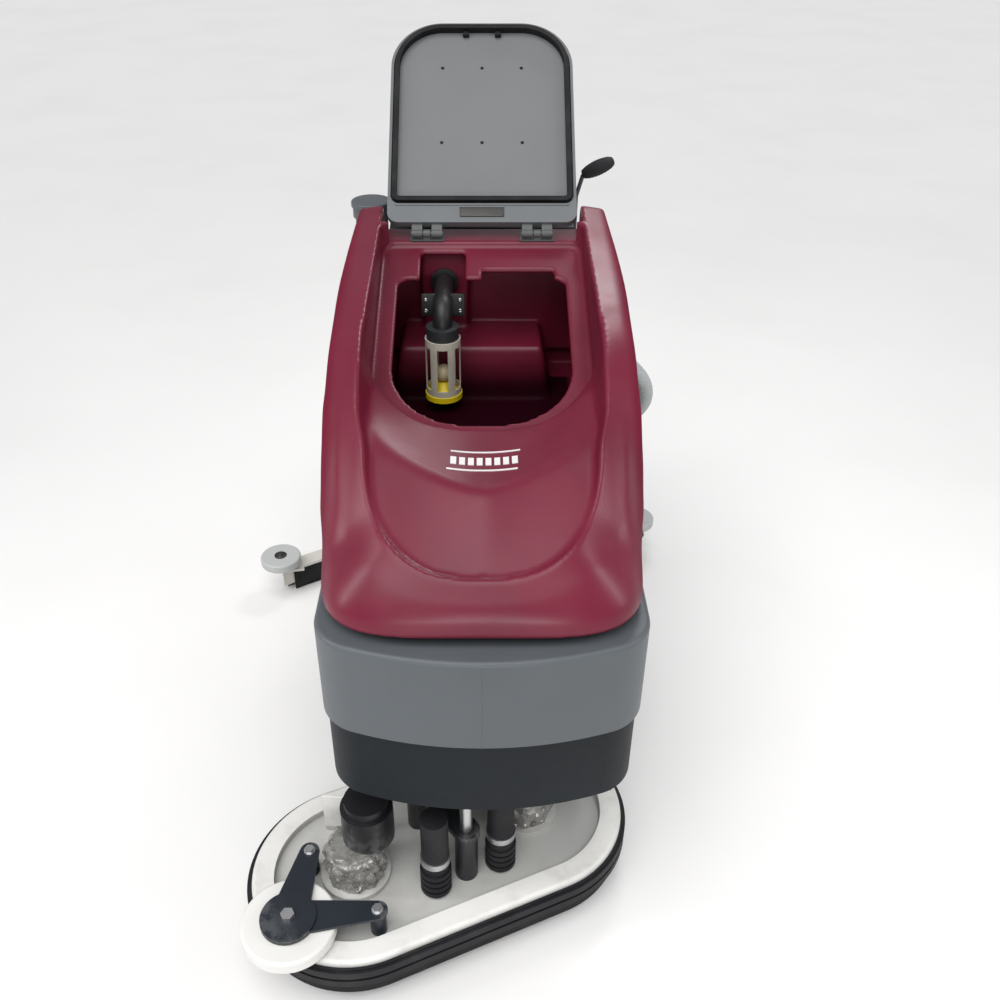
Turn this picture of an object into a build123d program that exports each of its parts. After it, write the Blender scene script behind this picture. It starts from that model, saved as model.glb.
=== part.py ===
"""Walk-behind floor scrubber: brush deck, two tanks, tilting lid, squeegee, wheels and controls.

Millimetres. x = 0 is the machine's centre plane and +X its right side as seen from the front,
y = 0 is the drive axle, the front faces -Y, and z = 0 is the floor. The last step moves
every piece so that the origin is under the centre of the whole machine.
"""
from build123d import *
import math
import os

# ---- body shells -------------------------------------------------------------------------
WALL = 7
SKIRT_HALF, SKIRT_FRONT, SKIRT_Z0, SKIRT_Z1 = 272, -566, 360, 537
SOLUTION_HALF, SOLUTION_FRONT, SOLUTION_Z1 = 276, -583, 736
BODY_REAR, FRONT_CORNER, REAR_CORNER, BOW = 430, 85, 30, 60
WELL_HALF, WELL_Y0, WELL_Y1 = 190, -153, 373
BATTERY_X, BATTERY_Y, BATTERY_Z, BATTERY_GAP = 180, 255, 262, 6

# ---- recovery tank -----------------------------------------------------------------------
TANK_HALF, TANK_FRONT, TANK_REAR, TANK_Z0 = 272, -540, 420, 753
RAIL_TOP = [(-440, 753), (-370, 805), (-320, 866), (-257, 926), (-181, 982),
            (-92, 1034), (48, 1071), (246, 1108), (420, 1146)]
VALLEY_TOP = [(-535, 790), (-512, 828), (-440, 880), (-360, 910), (-165, 908)]
VALLEY_HALF, NOSE_HALF = 190, 205
SEAT_Y, SEAT_Z, SEAT_SLOPE = -146, 897, math.tan(math.radians(18.6))
RECESS_HALF, RECESS_Y0, RECESS_Y1, RECESS_R, RECESS_REAR_R = 212, -152, 352, 110, 30
MOUTH_HALF, MOUTH_Y0, MOUTH_Y1, MOUTH_R = 172, -112, 258, 80
BAY_X0, BAY_X1, BAY_Y0, BAY_Z1 = -165, 120, 276, 866
DUCT_X0, DUCT_X1, DUCT_Y0, DUCT_Z1 = -125, -40, 368, 1018
TILT_X, TILT_Z, TILT_PIN_R = 283, 749, 6
TILT_Y = (-230, 230)

# ---- lid, rest position open -------------------------------------------------------------
HINGE_Y, HINGE_Z, LID_LEAN = 360, 1090, 50
LID_HALF, LID_V0, LID_V1, LIP_V = 202, 20, 528, 66
LID_FRONT_R, LID_REAR_R = 115, 25
DIMPLE_X, DIMPLE_V, LATCH_HALF = 88, (222, 415), 48
LID_TOP_W, LID_RIM_W, SEAL_W = -9, 13, 20.8
KNUCKLE_X = (-117, 117)
REAR_DECK_Z = 1076
HINGE_PIN_R = 5

# ---- float shut-off ----------------------------------------------------------------------
FLOAT_X, FLOAT_Y = -82, 200
CAGE_R, CAGE_Z0, CAGE_Z1 = 37.5, 800, 925
ELBOW_Z = 985
BALL_R = 19

# ---- brush deck --------------------------------------------------------------------------
BRUSH_A, BRUSH_B = (-246, -502), (86, -353)
DECK_R, DECK_WALL, DECK_Z0, DECK_RIM_Z, DECK_FLOOR_Z = 201, 8, 62, 125, 108
DISH_R, BUMPER_R = 158, 211
BRUSH_R, BRUSH_Z0 = 177, 1.5
MOTOR_R, MOTOR_Z1, FLANGE_R = 50, 300, 68
MOTOR_SHIFT = (28, 22)
SPLASH_Z0 = 32
DECK_LIFT = 40
POSTS = ((-88, -534), (36, -477))
POST_R, POST_Z1, CLAMP_Z = 26, 310, 193
BELLOWS_FOLDS, FOLD_PITCH = 4, 16
GUIDES = ((-130, -380), (-30, -500))
GUIDE_R, RUN = 12, 0.05
ACTUATOR = (-80, -440)
ROLLER = (-352, -640)
ROLLER_R, ROLLER_Z0, ROLLER_Z1 = 87.5, 130, 160
BRACKET_HOLES = ((-333, -497), (-191, -624))
ARM_ROOT, ARM_TIP = 36, 19

# ---- running gear ------------------------------------------------------------------------
DRIVE_R, DRIVE_X, DRIVE_W = 125, 215, 56
CASTER_X, CASTER_Y, CASTER_R, CASTER_TRAIL, CASTER_W = 200, 350, 50, 35, 32
RAIL_X, RAIL_W, RAIL_Z0, RAIL_Z1 = 140, 40, 300, 360
ACCESSORY_Y = 610

# ---- squeegee, at rest swung to one side -------------------------------------------------
PIVOT_Y, SWING_REST = 300, 10.6
TIP_X, TIP_Y, BOW_Y = 514, 304, 415
SQUEEGEE_LIFT = 50
GUIDE_WHEEL_R = 55

# ---- console and controls ----------------------------------------------------------------
CONSOLE_HALF = 204
CONSOLE = [(445, 361), (445, 1072), (520, 1088), (690, 985), (690, 860), (560, 760), (560, 361)]
NECK_X, NECK_Y, NECK_R, NECK_BORE_R, NECK_Z1 = -246, 487, 36, 30, 1110
HANDLE_X, HANDLE_Y, HANDLE_Z = 170, 762, 955
BAIL_X, BAIL_Y, BAIL_Z, BAIL_R = 139, 706, 900, 5
LEVER_PIVOT = (640, 975)
HOSE_R = 20
HOSE = [(-73.6, 693.2, 128), (-73.6, 693.2, 200), (-59, 699, 262), (-18, 707, 310), (44, 714, 340),
        (115, 716, 360), (188, 707, 378), (258, 685, 404), (320, 653, 440), (369, 614, 488),
        (403, 574, 542), (417, 538, 600), (404, 514, 660), (364, 497, 712), (311, 480, 757),
        (268, 464, 810), (250, 456, 872), (250, 456, 945)]


# ---- helpers -----------------------------------------------------------------------------
def side_prism(points, x0, x1):
    """Solid with a side outline of (y, z) points, from x0 to x1."""
    outline = Polyline(*[(x0, y, z) for y, z in points], close=True)
    return extrude(make_face(outline), amount=x1 - x0, dir=(1, 0, 0))


def block(x0, x1, y0, y1, z0, z1):
    return Pos((x0 + x1) / 2, (y0 + y1) / 2, (z0 + z1) / 2) * Box(x1 - x0, y1 - y0, z1 - z0)


def post(x, y, radius, z0, z1):
    return Pos(x, y, (z0 + z1) / 2) * Cylinder(radius, z1 - z0)


def cross_rod(x0, x1, y, z, radius):
    return Pos((x0 + x1) / 2, y, z) * Rot(0, 90, 0) * Cylinder(radius, abs(x1 - x0))


def rod(path_points, bend, radius):
    """Round rod that follows the points, with the same bend radius at every corner."""
    path = FilletPolyline(*path_points, radius=bend)
    section = Plane(origin=path @ 0, z_dir=path % 0) * Circle(radius)
    return sweep(section, path=path)


def body_plan(half, front, inset=0):
    """Outline seen from above: bowed front, rounded corners, shrunk by inset."""
    half -= inset
    front += inset
    rear = BODY_REAR - inset
    nose = ThreePointArc((-half, front + BOW), (0, front), (half, front + BOW))
    sides = Polyline((half, front + BOW), (half, rear), (-half, rear), (-half, front + BOW))
    face = make_face([nose, *sides.edges()])
    corners = face.vertices().sort_by(Axis.Y)
    face = fillet(corners[0:2], FRONT_CORNER - inset)
    corners = face.vertices().sort_by(Axis.Y)
    return fillet(corners[-2:], REAR_CORNER - inset)


def plan_prism(face, z0, z1):
    return extrude(Pos(0, 0, z0) * face, amount=z1 - z0)


def rounded_plan(half, y0, y1, front_r, rear_r):
    face = Pos(0, (y0 + y1) / 2) * Rectangle(2 * half, y1 - y0)
    ordered = face.vertices().sort_by(Axis.Y)
    face = fillet(ordered[0:2], front_r)
    return fillet(face.vertices().sort_by(Axis.Y)[-2:], rear_r)


def deck_slot(radius):
    """Outline of two equal circles about the brush centres and their outer tangents."""
    (ax, ay), (bx, by) = BRUSH_A, BRUSH_B
    turn = math.degrees(math.atan2(by - ay, bx - ax))
    slot = SlotCenterToCenter(math.hypot(bx - ax, by - ay), 2 * radius)
    return Pos((ax + bx) / 2, (ay + by) / 2) * Rot(0, 0, turn) * slot


def seat_z(y):
    return SEAT_Z + (y - SEAT_Y) * SEAT_SLOPE


def group(*pieces):
    """Several separate solids kept in one sub-part."""
    solids = []
    for piece in pieces:
        solids.extend(piece.solids())
    return Compound(children=solids)


# ---- body --------------------------------------------------------------------------------
def chassis_frame():
    frame = block(-235, 235, -505, -240, 352, RAIL_Z1)
    for side in (-1, 1):
        x = side * RAIL_X
        frame += block(x - RAIL_W / 2, x + RAIL_W / 2, -250, 680, RAIL_Z0, RAIL_Z1)
        caster_x = side * CASTER_X
        frame += block(caster_x - 45, caster_x + 45, CASTER_Y - 45, CASTER_Y + 45, 180, 194)
        leg = block(caster_x - 45, caster_x + 45, CASTER_Y + 33, CASTER_Y + 45, 190, RAIL_Z0 + 12)
        frame += leg + block(caster_x - 45, caster_x + 45, CASTER_Y - 45, CASTER_Y + 45, RAIL_Z0, 312)
        frame -= post(caster_x, CASTER_Y, 12 + RUN, 170, 200)
        eye = block(side * 255 - 6, side * 255 + 6, -150, -100, 330, 352)
        low, high = sorted((side * 150, side * 261))
        frame += eye + block(low, high, -150, -100, 348, RAIL_Z1)
        frame -= cross_rod(side * 255 - 10, side * 255 + 10, -125, 339, 6)
        frame += block(x - 8, x + 8, -40, 40, 125, RAIL_Z0 + 5) - cross_rod(x - 20, x + 20, 0, DRIVE_R, 40)
    for y, half in ((-230, 20), (120, 20), (PIVOT_Y, 20), (ACCESSORY_Y, 35)):
        frame += block(-RAIL_X, RAIL_X, y - half, y + half, RAIL_Z0, RAIL_Z1 - 10)
    frame -= post(0, PIVOT_Y, 14, 290, 340)
    for x in (-60, 60):
        for y in (ACCESSORY_Y - 20, ACCESSORY_Y + 20):
            frame -= post(x, y, 4.5, 290, 400)
    return frame


def base_skirt():
    outer = plan_prism(body_plan(SKIRT_HALF, SKIRT_FRONT), SKIRT_Z0, SKIRT_Z1)
    outer = chamfer(outer.faces().sort_by(Axis.Z)[0].edges(), 14)
    return outer - plan_prism(body_plan(SKIRT_HALF, SKIRT_FRONT, WALL), SKIRT_Z0 + WALL + 5, SKIRT_Z1)


def solution_tank():
    outer = plan_prism(body_plan(SOLUTION_HALF, SOLUTION_FRONT), SKIRT_Z1, SOLUTION_Z1)
    outer = chamfer(outer.faces().sort_by(Axis.Z)[0].edges(), 12)
    outer = fillet(outer.faces().sort_by(Axis.Z)[-1].edges(), 8)
    boss = block(-282, NECK_X + NECK_R, BODY_REAR - 30, NECK_Y + NECK_R, SKIRT_Z1 + 12, SOLUTION_Z1)
    well = block(-WELL_HALF, WELL_HALF, WELL_Y0, WELL_Y1, SKIRT_Z1, SOLUTION_Z1)
    well_wall = block(-WELL_HALF - WALL, WELL_HALF + WALL, WELL_Y0 - WALL, WELL_Y1 + WALL,
                      SKIRT_Z1, SOLUTION_Z1)
    cavity = plan_prism(body_plan(SOLUTION_HALF, SOLUTION_FRONT, 14), SKIRT_Z1 + WALL, SOLUTION_Z1 - WALL)
    tank = outer + boss - (cavity - well_wall) - well
    tank -= post(NECK_X, NECK_Y, NECK_BORE_R - 2, SKIRT_Z1 + 30, SOLUTION_Z1 + 1)
    return tank - block(NECK_X - 20, NECK_X + 20, BODY_REAR - 20, NECK_Y, SKIRT_Z1 + 40, SKIRT_Z1 + 80)


def battery_cases():
    cases = []
    for side_x in (-1, 1):
        for row in (0, 1):
            x = side_x * (BATTERY_X + BATTERY_GAP) / 2
            y = WELL_Y0 + 5 + BATTERY_Y / 2 + row * (BATTERY_Y + BATTERY_GAP)
            case = Pos(x, y, SKIRT_Z0 + WALL + 6 + BATTERY_Z / 2) * Box(BATTERY_X, BATTERY_Y, BATTERY_Z)
            case = chamfer(case.edges().filter_by(Axis.Z), 6)
            top = SKIRT_Z0 + WALL + 6 + BATTERY_Z
            for terminal in (-1, 1):
                case += post(x + 60 * terminal, y - 95, 9, top - 2, top + 16)
            for cap in (-1, 0, 1):
                case += post(x + 45 * cap, y + 20, 15, top - 2, top + 8)
            cases.append(case)
    return group(*cases)


def transaxle():
    case = cross_rod(-182, 182, 0, DRIVE_R, 38) + cross_rod(-75, 75, 0, DRIVE_R, 62)
    motor = Pos(0, 100, DRIVE_R + 10) * Rot(90, 0, 0) * Cylinder(52, 130)
    return case + motor + cross_rod(-250, 250, 0, DRIVE_R, 15)


def guide_rods():
    return group(*[post(x, y, GUIDE_R, 155, 352) for x, y in GUIDES])


def actuator_body():
    x, y = ACTUATOR
    return post(x, y, 22, 286, 352) - post(x, y, 9 + RUN, 280, 345)


def squeegee_rail():
    return post(0, PIVOT_Y, 14, 130, 340)


def tank_hinge_base():
    leaves = []
    for y in TILT_Y:
        leaf = block(250, TILT_X, y - 30, y + 30, SOLUTION_Z1, SOLUTION_Z1 + 3)
        for end in (-1, 1):
            knuckle_y = y + end * 21
            knuckle = Pos(TILT_X, knuckle_y, TILT_Z) * Rot(90, 0, 0) * Cylinder(9, 17)
            leaf += knuckle - block(240, 300, knuckle_y - 12, knuckle_y + 12, 700, SOLUTION_Z1)
        leaves.append(leaf + Pos(TILT_X, y, TILT_Z) * Rot(90, 0, 0) * Cylinder(TILT_PIN_R, 58))
    return group(*leaves)


# ---- recovery tank -----------------------------------------------------------------------
def tank_hull(inset):
    """Tank outline without its top openings, shrunk by inset on every side."""
    floor = TANK_Z0 + inset
    rails = [(y + inset * 0.5, z - inset) for y, z in RAIL_TOP]
    rails[0] = (RAIL_TOP[0][0] + inset * 1.6, floor)
    rails[-1] = (TANK_REAR - inset, RAIL_TOP[-1][1] - inset)
    solid = side_prism(rails + [(TANK_REAR - inset, floor)], -TANK_HALF + inset, TANK_HALF - inset)
    valley = [(y + inset, z - inset) for y, z in VALLEY_TOP]
    above = [(valley[0][0] - 40, floor - 20)] + [(valley[0][0] - 40, 1200), (RECESS_Y0 + 20 + inset, 1200)]
    above += [(RECESS_Y0 + 20 + inset, valley[-1][1])] + valley[::-1] + [(TANK_FRONT + inset, floor - 20)]
    solid -= side_prism(above, -VALLEY_HALF - inset, VALLEY_HALF + inset)
    nose = [(TANK_FRONT + inset, floor)] + valley + [(valley[-1][0], floor)]
    solid += side_prism(nose, -NOSE_HALF + inset, NOSE_HALF - inset)
    half = TANK_HALF - inset
    front = TANK_FRONT + inset
    arc = ThreePointArc((-half, front + 95), (0, front), (half, front + 95))
    sides = Polyline((half, front + 95), (half, TANK_REAR - inset), (-half, TANK_REAR - inset),
                     (-half, front + 95))
    plan = make_face([arc, *sides.edges()])
    plan = fillet(plan.vertices(), 40 - inset)
    return solid & plan_prism(plan, TANK_Z0 - 5, 1200)


def above_seat(face, drop):
    """The part of a plan outline that lies above the lid's sloping seat, lowered by drop."""
    y0, y1 = -300, 460
    wedge = [(y0, seat_z(y0) - drop), (y1, seat_z(y1) - drop), (y1, 1260), (y0, 1260)]
    return plan_prism(face, 700, 1250) & side_prism(wedge, -300, 300)


def recovery_tank():
    shell = tank_hull(0)
    recess = rounded_plan(RECESS_HALF, RECESS_Y0, RECESS_Y1, RECESS_R, RECESS_REAR_R)
    mouth = rounded_plan(MOUTH_HALF, MOUTH_Y0, MOUTH_Y1, MOUTH_R, 25)
    recess_wall = rounded_plan(RECESS_HALF + WALL, RECESS_Y0 - WALL, RECESS_Y1 + WALL,
                               RECESS_R, RECESS_REAR_R)
    cavity = tank_hull(WALL) - above_seat(recess_wall, WALL)
    cavity -= block(BAY_X0 - WALL, BAY_X1 + WALL, BAY_Y0 - WALL, 430, 740, BAY_Z1 + WALL)
    cavity -= block(DUCT_X0 - WALL, DUCT_X1 + WALL, DUCT_Y0 - WALL, 430, 850, DUCT_Z1 + WALL)
    shell -= above_seat(recess, 0)
    shell -= cavity
    shell -= above_seat(mouth, WALL + 6)
    shell -= block(BAY_X0, BAY_X1, BAY_Y0, 413, 740, BAY_Z1)
    shell -= block(DUCT_X0, DUCT_X1, DUCT_Y0, 413, 850, DUCT_Z1)
    shell -= Pos(FLOAT_X, DUCT_Y0, ELBOW_Z) * Rot(90, 0, 0) * Cylinder(15, 40)
    shell -= block(-RECESS_HALF, RECESS_HALF, RECESS_Y1 - RECESS_REAR_R - 1, 430, REAR_DECK_Z, 1200)
    lugs = [Pos(TILT_X, y, TILT_Z) * Rot(90, 0, 0) * Cylinder(9, 24) for y in TILT_Y]
    for y, lug in zip(TILT_Y, lugs):
        arm = block(262, TILT_X + 9, y - 12, y + 12, TILT_Z, 775)
        shell += lug + arm
        shell -= Pos(TILT_X, y, TILT_Z) * Rot(90, 0, 0) * Cylinder(TILT_PIN_R + RUN, 40)
    return shell


def vacuum_motor():
    x = (BAY_X0 + BAY_X1) / 2
    motor = post(x, 344, 62, 762, 828) + post(x, 344, 48, 828, 858)
    return motor + block(x - 66, x + 66, 284, 408, 756, 762)


def hose_port():
    """Elbow on the tank's rear wall that opens downwards and takes the hose end."""
    cuff = post(250, 456, 27, 885, 965) + Pos(250, 438, 948) * Rot(90, 0, 0) * Cylinder(24, 36)
    return cuff - post(250, 456, 21.5, 880, 948)


def lid_hinge_base():
    brackets = []
    for x in KNUCKLE_X:
        base = block(x - 36, x + 36, RECESS_Y1 + 1, 388, REAR_DECK_Z, REAR_DECK_Z + 3)
        ear = block(x - 7, x + 7, HINGE_Y - 6, HINGE_Y + 6, REAR_DECK_Z, HINGE_Z)
        ear += cross_rod(x - 7, x + 7, HINGE_Y, HINGE_Z, 9)
        brackets.append(base + ear + cross_rod(x - 34, x + 34, HINGE_Y, HINGE_Z, HINGE_PIN_R))
    return group(*brackets)


# ---- float shut-off ----------------------------------------------------------------------
def float_elbow():
    bulkhead = DUCT_Y0 - WALL
    points = [(FLOAT_X, FLOAT_Y, CAGE_Z1 + 20), (FLOAT_X, FLOAT_Y, ELBOW_Z), (FLOAT_X, bulkhead, ELBOW_Z)]
    flange = Pos(FLOAT_X, bulkhead - 4, ELBOW_Z) * Rot(90, 0, 0) * Cylinder(30, 8)
    return rod(points, 34, 20) + flange - rod(points, 34, 15)


def float_collar():
    socket = post(FLOAT_X, FLOAT_Y, 20 + RUN, CAGE_Z1 + 20, 970)
    return post(FLOAT_X, FLOAT_Y, 34, CAGE_Z1, CAGE_Z1 + 25) - post(FLOAT_X, FLOAT_Y, 16, 900, 970) - socket


def float_cage():
    cage = post(FLOAT_X, FLOAT_Y, CAGE_R, CAGE_Z0, CAGE_Z1) - post(FLOAT_X, FLOAT_Y, CAGE_R - 3, 790, 940)
    for step in range(6):
        window = Pos(CAGE_R, 0, 862) * Box(12, 22, 96)
        cage -= Pos(FLOAT_X, FLOAT_Y) * Rot(0, 0, 60 * step + 30) * window
    return cage


def float_cap():
    cap = post(FLOAT_X, FLOAT_Y, CAGE_R + 2, CAGE_Z0 - 12, CAGE_Z0)
    seat = Pos(FLOAT_X, FLOAT_Y, CAGE_Z0 + 12.5) * Cone(CAGE_R - 4, 12, 25)
    return cap + (seat - Pos(FLOAT_X, FLOAT_Y, CAGE_Z0 + 42) * Sphere(BALL_R + 1))


def float_ball():
    return Pos(FLOAT_X, FLOAT_Y, CAGE_Z0 + 42.2) * Sphere(BALL_R)


# ---- lid ---------------------------------------------------------------------------------
def lid_place(solid):
    """From the lid's own axes (x, length from hinge, towards the seal) to its open position."""
    return Pos(0, HINGE_Y, HINGE_Z) * Rot(90 - LID_LEAN, 0, 0) * solid


def lid_outline(inset, start=LID_V0):
    return rounded_plan(LID_HALF - inset, start + inset, LID_V1 - inset,
                        max(LID_REAR_R - inset, 8), LID_FRONT_R - inset)


def lid_shell():
    solid = plan_prism(lid_outline(0), LID_TOP_W, LID_RIM_W)
    solid = fillet(solid.faces().sort_by(Axis.Z)[0].edges(), 6)
    solid -= plan_prism(lid_outline(6, LIP_V - 6), LID_TOP_W + 5, LID_RIM_W)
    latch = block(-LATCH_HALF, LATCH_HALF, LID_V0 + 12, LID_V0 + 36, LID_RIM_W - 3, LID_RIM_W)
    return lid_place(solid - latch)


def lid_panel():
    panel = plan_prism(lid_outline(8, LIP_V - 6), -2, 4)
    for x in (-DIMPLE_X, 0, DIMPLE_X):
        for v in DIMPLE_V:
            panel -= post(x, v, 3, 2, 6)
    return lid_place(panel)


def lid_gasket():
    ring = plan_prism(lid_outline(9, LIP_V - 6), 4, SEAL_W)
    return lid_place(ring - plan_prism(lid_outline(19, LIP_V - 6), 4, SEAL_W))


def lid_hinge_arms():
    """Two arms at each knuckle, one each side of its fixed ear."""
    arms = []
    for x in KNUCKLE_X:
        for side in (-1, 1):
            mid = x + side * 21
            arm = block(mid - 11, mid + 11, -6, LID_V0, -6, 7) + cross_rod(mid - 11, mid + 11, 0, 0, 9)
            arms.append(arm - cross_rod(mid - 20, mid + 20, 0, 0, HINGE_PIN_R + RUN))
    return lid_place(group(*arms))


# ---- brush deck --------------------------------------------------------------------------
def deck_housing():
    deck = plan_prism(deck_slot(DECK_R), DECK_Z0, DECK_RIM_Z)
    deck = fillet(deck.faces().sort_by(Axis.Z)[-1].edges(), 9)
    deck -= plan_prism(deck_slot(DECK_R - DECK_WALL), DECK_Z0, DECK_FLOOR_Z - DECK_WALL)
    deck -= plan_prism(deck_slot(DISH_R), DECK_FLOOR_Z, DECK_RIM_Z)
    for x, y in (BRUSH_A, BRUSH_B):
        deck -= post(x, y, 22, 90, 130)
    return deck


def deck_bumper():
    band = plan_prism(deck_slot(DECK_R + 5), DECK_Z0, 113)
    for z in (67, 91):
        band += plan_prism(deck_slot(BUMPER_R), z, z + 17)
    return band - plan_prism(deck_slot(DECK_R), DECK_Z0, 113)


def splash_skirt():
    return plan_prism(deck_slot(200), SPLASH_Z0, DECK_Z0) - plan_prism(deck_slot(195), SPLASH_Z0, DECK_Z0)


def motor_flanges():
    rings = []
    for x, y in (BRUSH_A, BRUSH_B):
        ring = post(x, y, FLANGE_R, DECK_FLOOR_Z, 120) - post(x, y, 56, 100, 130)
        rings.append(ring + (post(x, y, 58, 112, 120) - post(x, y, 30, 100, 130)))
    return group(*rings)


def gear_housings():
    cases = []
    for x, y in (BRUSH_A, BRUSH_B):
        case = Pos(x, y, 120) * extrude(RegularPolygon(60, 8), amount=80)
        case = chamfer(case.faces().sort_by(Axis.Z)[-1].edges(), 10)
        cases.append(case - post(x, y, 14 + RUN, 110, 140))
    return group(*cases)


def brush_motors():
    motors = []
    for x, y in (BRUSH_A, BRUSH_B):
        x, y = x + MOTOR_SHIFT[0], y + MOTOR_SHIFT[1]
        motors.append(post(x, y, MOTOR_R, 200, MOTOR_Z1 - 20) + post(x, y, MOTOR_R - 8, 270, MOTOR_Z1))
    return group(*motors)


def spring_posts():
    posts = []
    for x, y in POSTS:
        solid = post(x, y, POST_R, DECK_FLOOR_Z, POST_Z1)
        for fold in range(BELLOWS_FOLDS):
            z = DECK_FLOOR_Z + 6 + fold * FOLD_PITCH
            solid += post(x, y, POST_R + 4, z, z + FOLD_PITCH - 6)
        posts.append(solid)
    return group(*posts)


def deck_fasteners():
    """Clamp bands of the spring posts and the bolts of the roller bracket."""
    bands = []
    for x, y in POSTS:
        bands.append(post(x, y, POST_R + 2.5, CLAMP_Z, CLAMP_Z + 14) - post(x, y, POST_R, 180, 220))
    bolts = []
    for x, y in BRACKET_HOLES:
        bolts.append(post(x, y, 11, 168, 170) + Pos(x, y, 170) * extrude(RegularPolygon(9, 6), amount=6))
    x, y = ROLLER
    bolts.append(Pos(x, y, 172) * extrude(RegularPolygon(13, 6), amount=9))
    return group(*bands, *bolts)


def deck_hanger():
    plate = plan_prism(Pos(*ACTUATOR) * Rot(0, 0, -50.2) * SlotCenterToCenter(160, 50), 228, 240)
    for x, y in GUIDES:
        plate += post(x, y, 22, DECK_FLOOR_Z, 240)
    for x, y in GUIDES:
        plate -= post(x, y, GUIDE_R + RUN, DECK_FLOOR_Z + 6, 250)
    return plate + post(*ACTUATOR, 9, 235, 300)


def roller_bracket():
    x, y = ROLLER
    plate = post(x, y, 51, 162, 172)
    for hole_x, hole_y in BRACKET_HOLES:
        length = math.hypot(hole_x - x, hole_y - y)
        turn = math.degrees(math.atan2(hole_y - y, hole_x - x))
        taper = Polygon((0, -ARM_ROOT), (length, -ARM_TIP), (length, ARM_TIP), (0, ARM_ROOT), align=None)
        arm = plan_prism(Pos(x, y) * Rot(0, 0, turn) * taper, 162, 168)
        plate += arm + post(hole_x, hole_y, ARM_TIP, 162, 168)
        plate += post(hole_x, hole_y, 15, DECK_FLOOR_Z, 165)
    return plate + post(x, y, 10, 128, 165) + post(x, y, 16, 126, 129.5)


def roller_wheel():
    x, y = ROLLER
    wheel = post(x, y, ROLLER_R, ROLLER_Z0, ROLLER_Z1)
    wheel = fillet(wheel.edges(), 6)
    return wheel - post(x, y, 10 + RUN, 120, 170)


def brush(x, y):
    block_disc = post(x, y, BRUSH_R - 5, 40, 60) + post(x, y, 14, 58, 128)
    bristles = post(x, y, BRUSH_R, BRUSH_Z0, 40) - post(x, y, 62, 0, 50)
    return group(block_disc, bristles)


# ---- running gear ------------------------------------------------------------------------
def drive_wheel(side):
    x = side * DRIVE_X
    x0, x1 = x - DRIVE_W / 2, x + DRIVE_W / 2
    tyre = cross_rod(x0, x1, 0, DRIVE_R, DRIVE_R)
    tyre = fillet(tyre.edges(), 7) - cross_rod(x0, x1, 0, DRIVE_R, 92)
    rim = cross_rod(x0 + 4, x1 - 4, 0, DRIVE_R, 92) - cross_rod(x + side * 14, x + side * 60, 0, DRIVE_R, 74)
    rim += cross_rod(x - 24, x + 24, 0, DRIVE_R, 30)
    return group(tyre, rim - cross_rod(x0 - 5, x1 + 5, 0, DRIVE_R, 15 + RUN))


def caster_fork(side):
    x, y = side * CASTER_X, CASTER_Y
    hub_y = y + CASTER_TRAIL
    fork = post(x, y, 34, 160, 176) + post(x, y, 12, 170, 194)
    fork += block(x - 24, x + 24, y - 20, hub_y + 12, 160, 168) & post(x, y + 12, 50, 150, 170)
    for cheek in (-1, 1):
        cx = x + cheek * 21.5
        leg = [(y - 22, 165), (y + 25, 165), (hub_y + 12, CASTER_R - 4), (hub_y - 12, CASTER_R - 4)]
        leg_solid = side_prism(leg, cx - 2.5, cx + 2.5)
        fork += leg_solid + cross_rod(cx - 2.5, cx + 2.5, hub_y, CASTER_R, 12)
    return fork + cross_rod(x - 27, x + 27, hub_y, CASTER_R, 6)


def caster_wheel(side):
    x = side * CASTER_X
    hub_y = CASTER_Y + CASTER_TRAIL
    wheel = cross_rod(x - CASTER_W / 2, x + CASTER_W / 2, hub_y, CASTER_R, CASTER_R)
    wheel = fillet(wheel.edges(), 5)
    return wheel - cross_rod(x - 30, x + 30, hub_y, CASTER_R, 6 + RUN)


# ---- squeegee ----------------------------------------------------------------------------
def swung(solid):
    """From the squeegee's own axes, with its swing pivot at the origin, to its rest position."""
    return Pos(0, PIVOT_Y, 0) * Rot(0, 0, SWING_REST) * solid


def squeegee_band(inner, outer, z0, z1, reach=TIP_X):
    """Curved strip that passes through the tool's middle and both its tips."""
    sag = BOW_Y - TIP_Y
    radius = (TIP_X ** 2 + sag ** 2) / (2 * sag)
    ring = Circle(radius + outer) - Circle(radius + inner)
    ring = Pos(0, BOW_Y - radius) * ring & (Pos(0, BOW_Y) * Rectangle(2 * reach, 500))
    return plan_prism(ring, z0, z1)


def squeegee_yoke():
    yoke = post(0, PIVOT_Y, 38, 150, 156) + post(0, PIVOT_Y, 26, 150, 200)
    return yoke - post(0, PIVOT_Y, 14 + RUN, 140, 210)


def squeegee_body():
    body = squeegee_band(-22, 22, 72, 80) + squeegee_band(-10, 10, 22, 72)
    arm = post(0, 0, 42, 157, 185)
    for side in (-1, 1):
        arm += side_prism([(20, 159), (20, 183), (330, 150), (405, 80), (360, 78), (310, 128)],
                          side * 30 - 4, side * 30 + 4)
    arm += block(-34, 34, 280, 300, 132, 148) + block(-34, 34, 36, 50, 158, 180)
    inlet = post(0, 400, 26, 78, 150) + post(0, 400, 31, 78, 100)
    for side in (-1, 1):
        tip_x = side * TIP_X
        body += post(tip_x, TIP_Y, 14, 72, 99) + post(tip_x, TIP_Y, 8, 80, 128)
        body += block(min(tip_x, tip_x - side * 60), max(tip_x, tip_x - side * 60),
                      TIP_Y - 14, TIP_Y + 14, 72, 80)
    body += inlet + arm
    body -= post(0, 0, 26 + RUN, 140, 210)
    body -= post(0, 400, HOSE_R + 1, 126, 195)
    return swung(body)


def squeegee_blades():
    rear = squeegee_band(10, 15, BRUSH_Z0, 70, TIP_X - 8)
    front = squeegee_band(-15, -10, BRUSH_Z0 + 1, 70, TIP_X - 30)
    return swung(group(rear, front))


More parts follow.
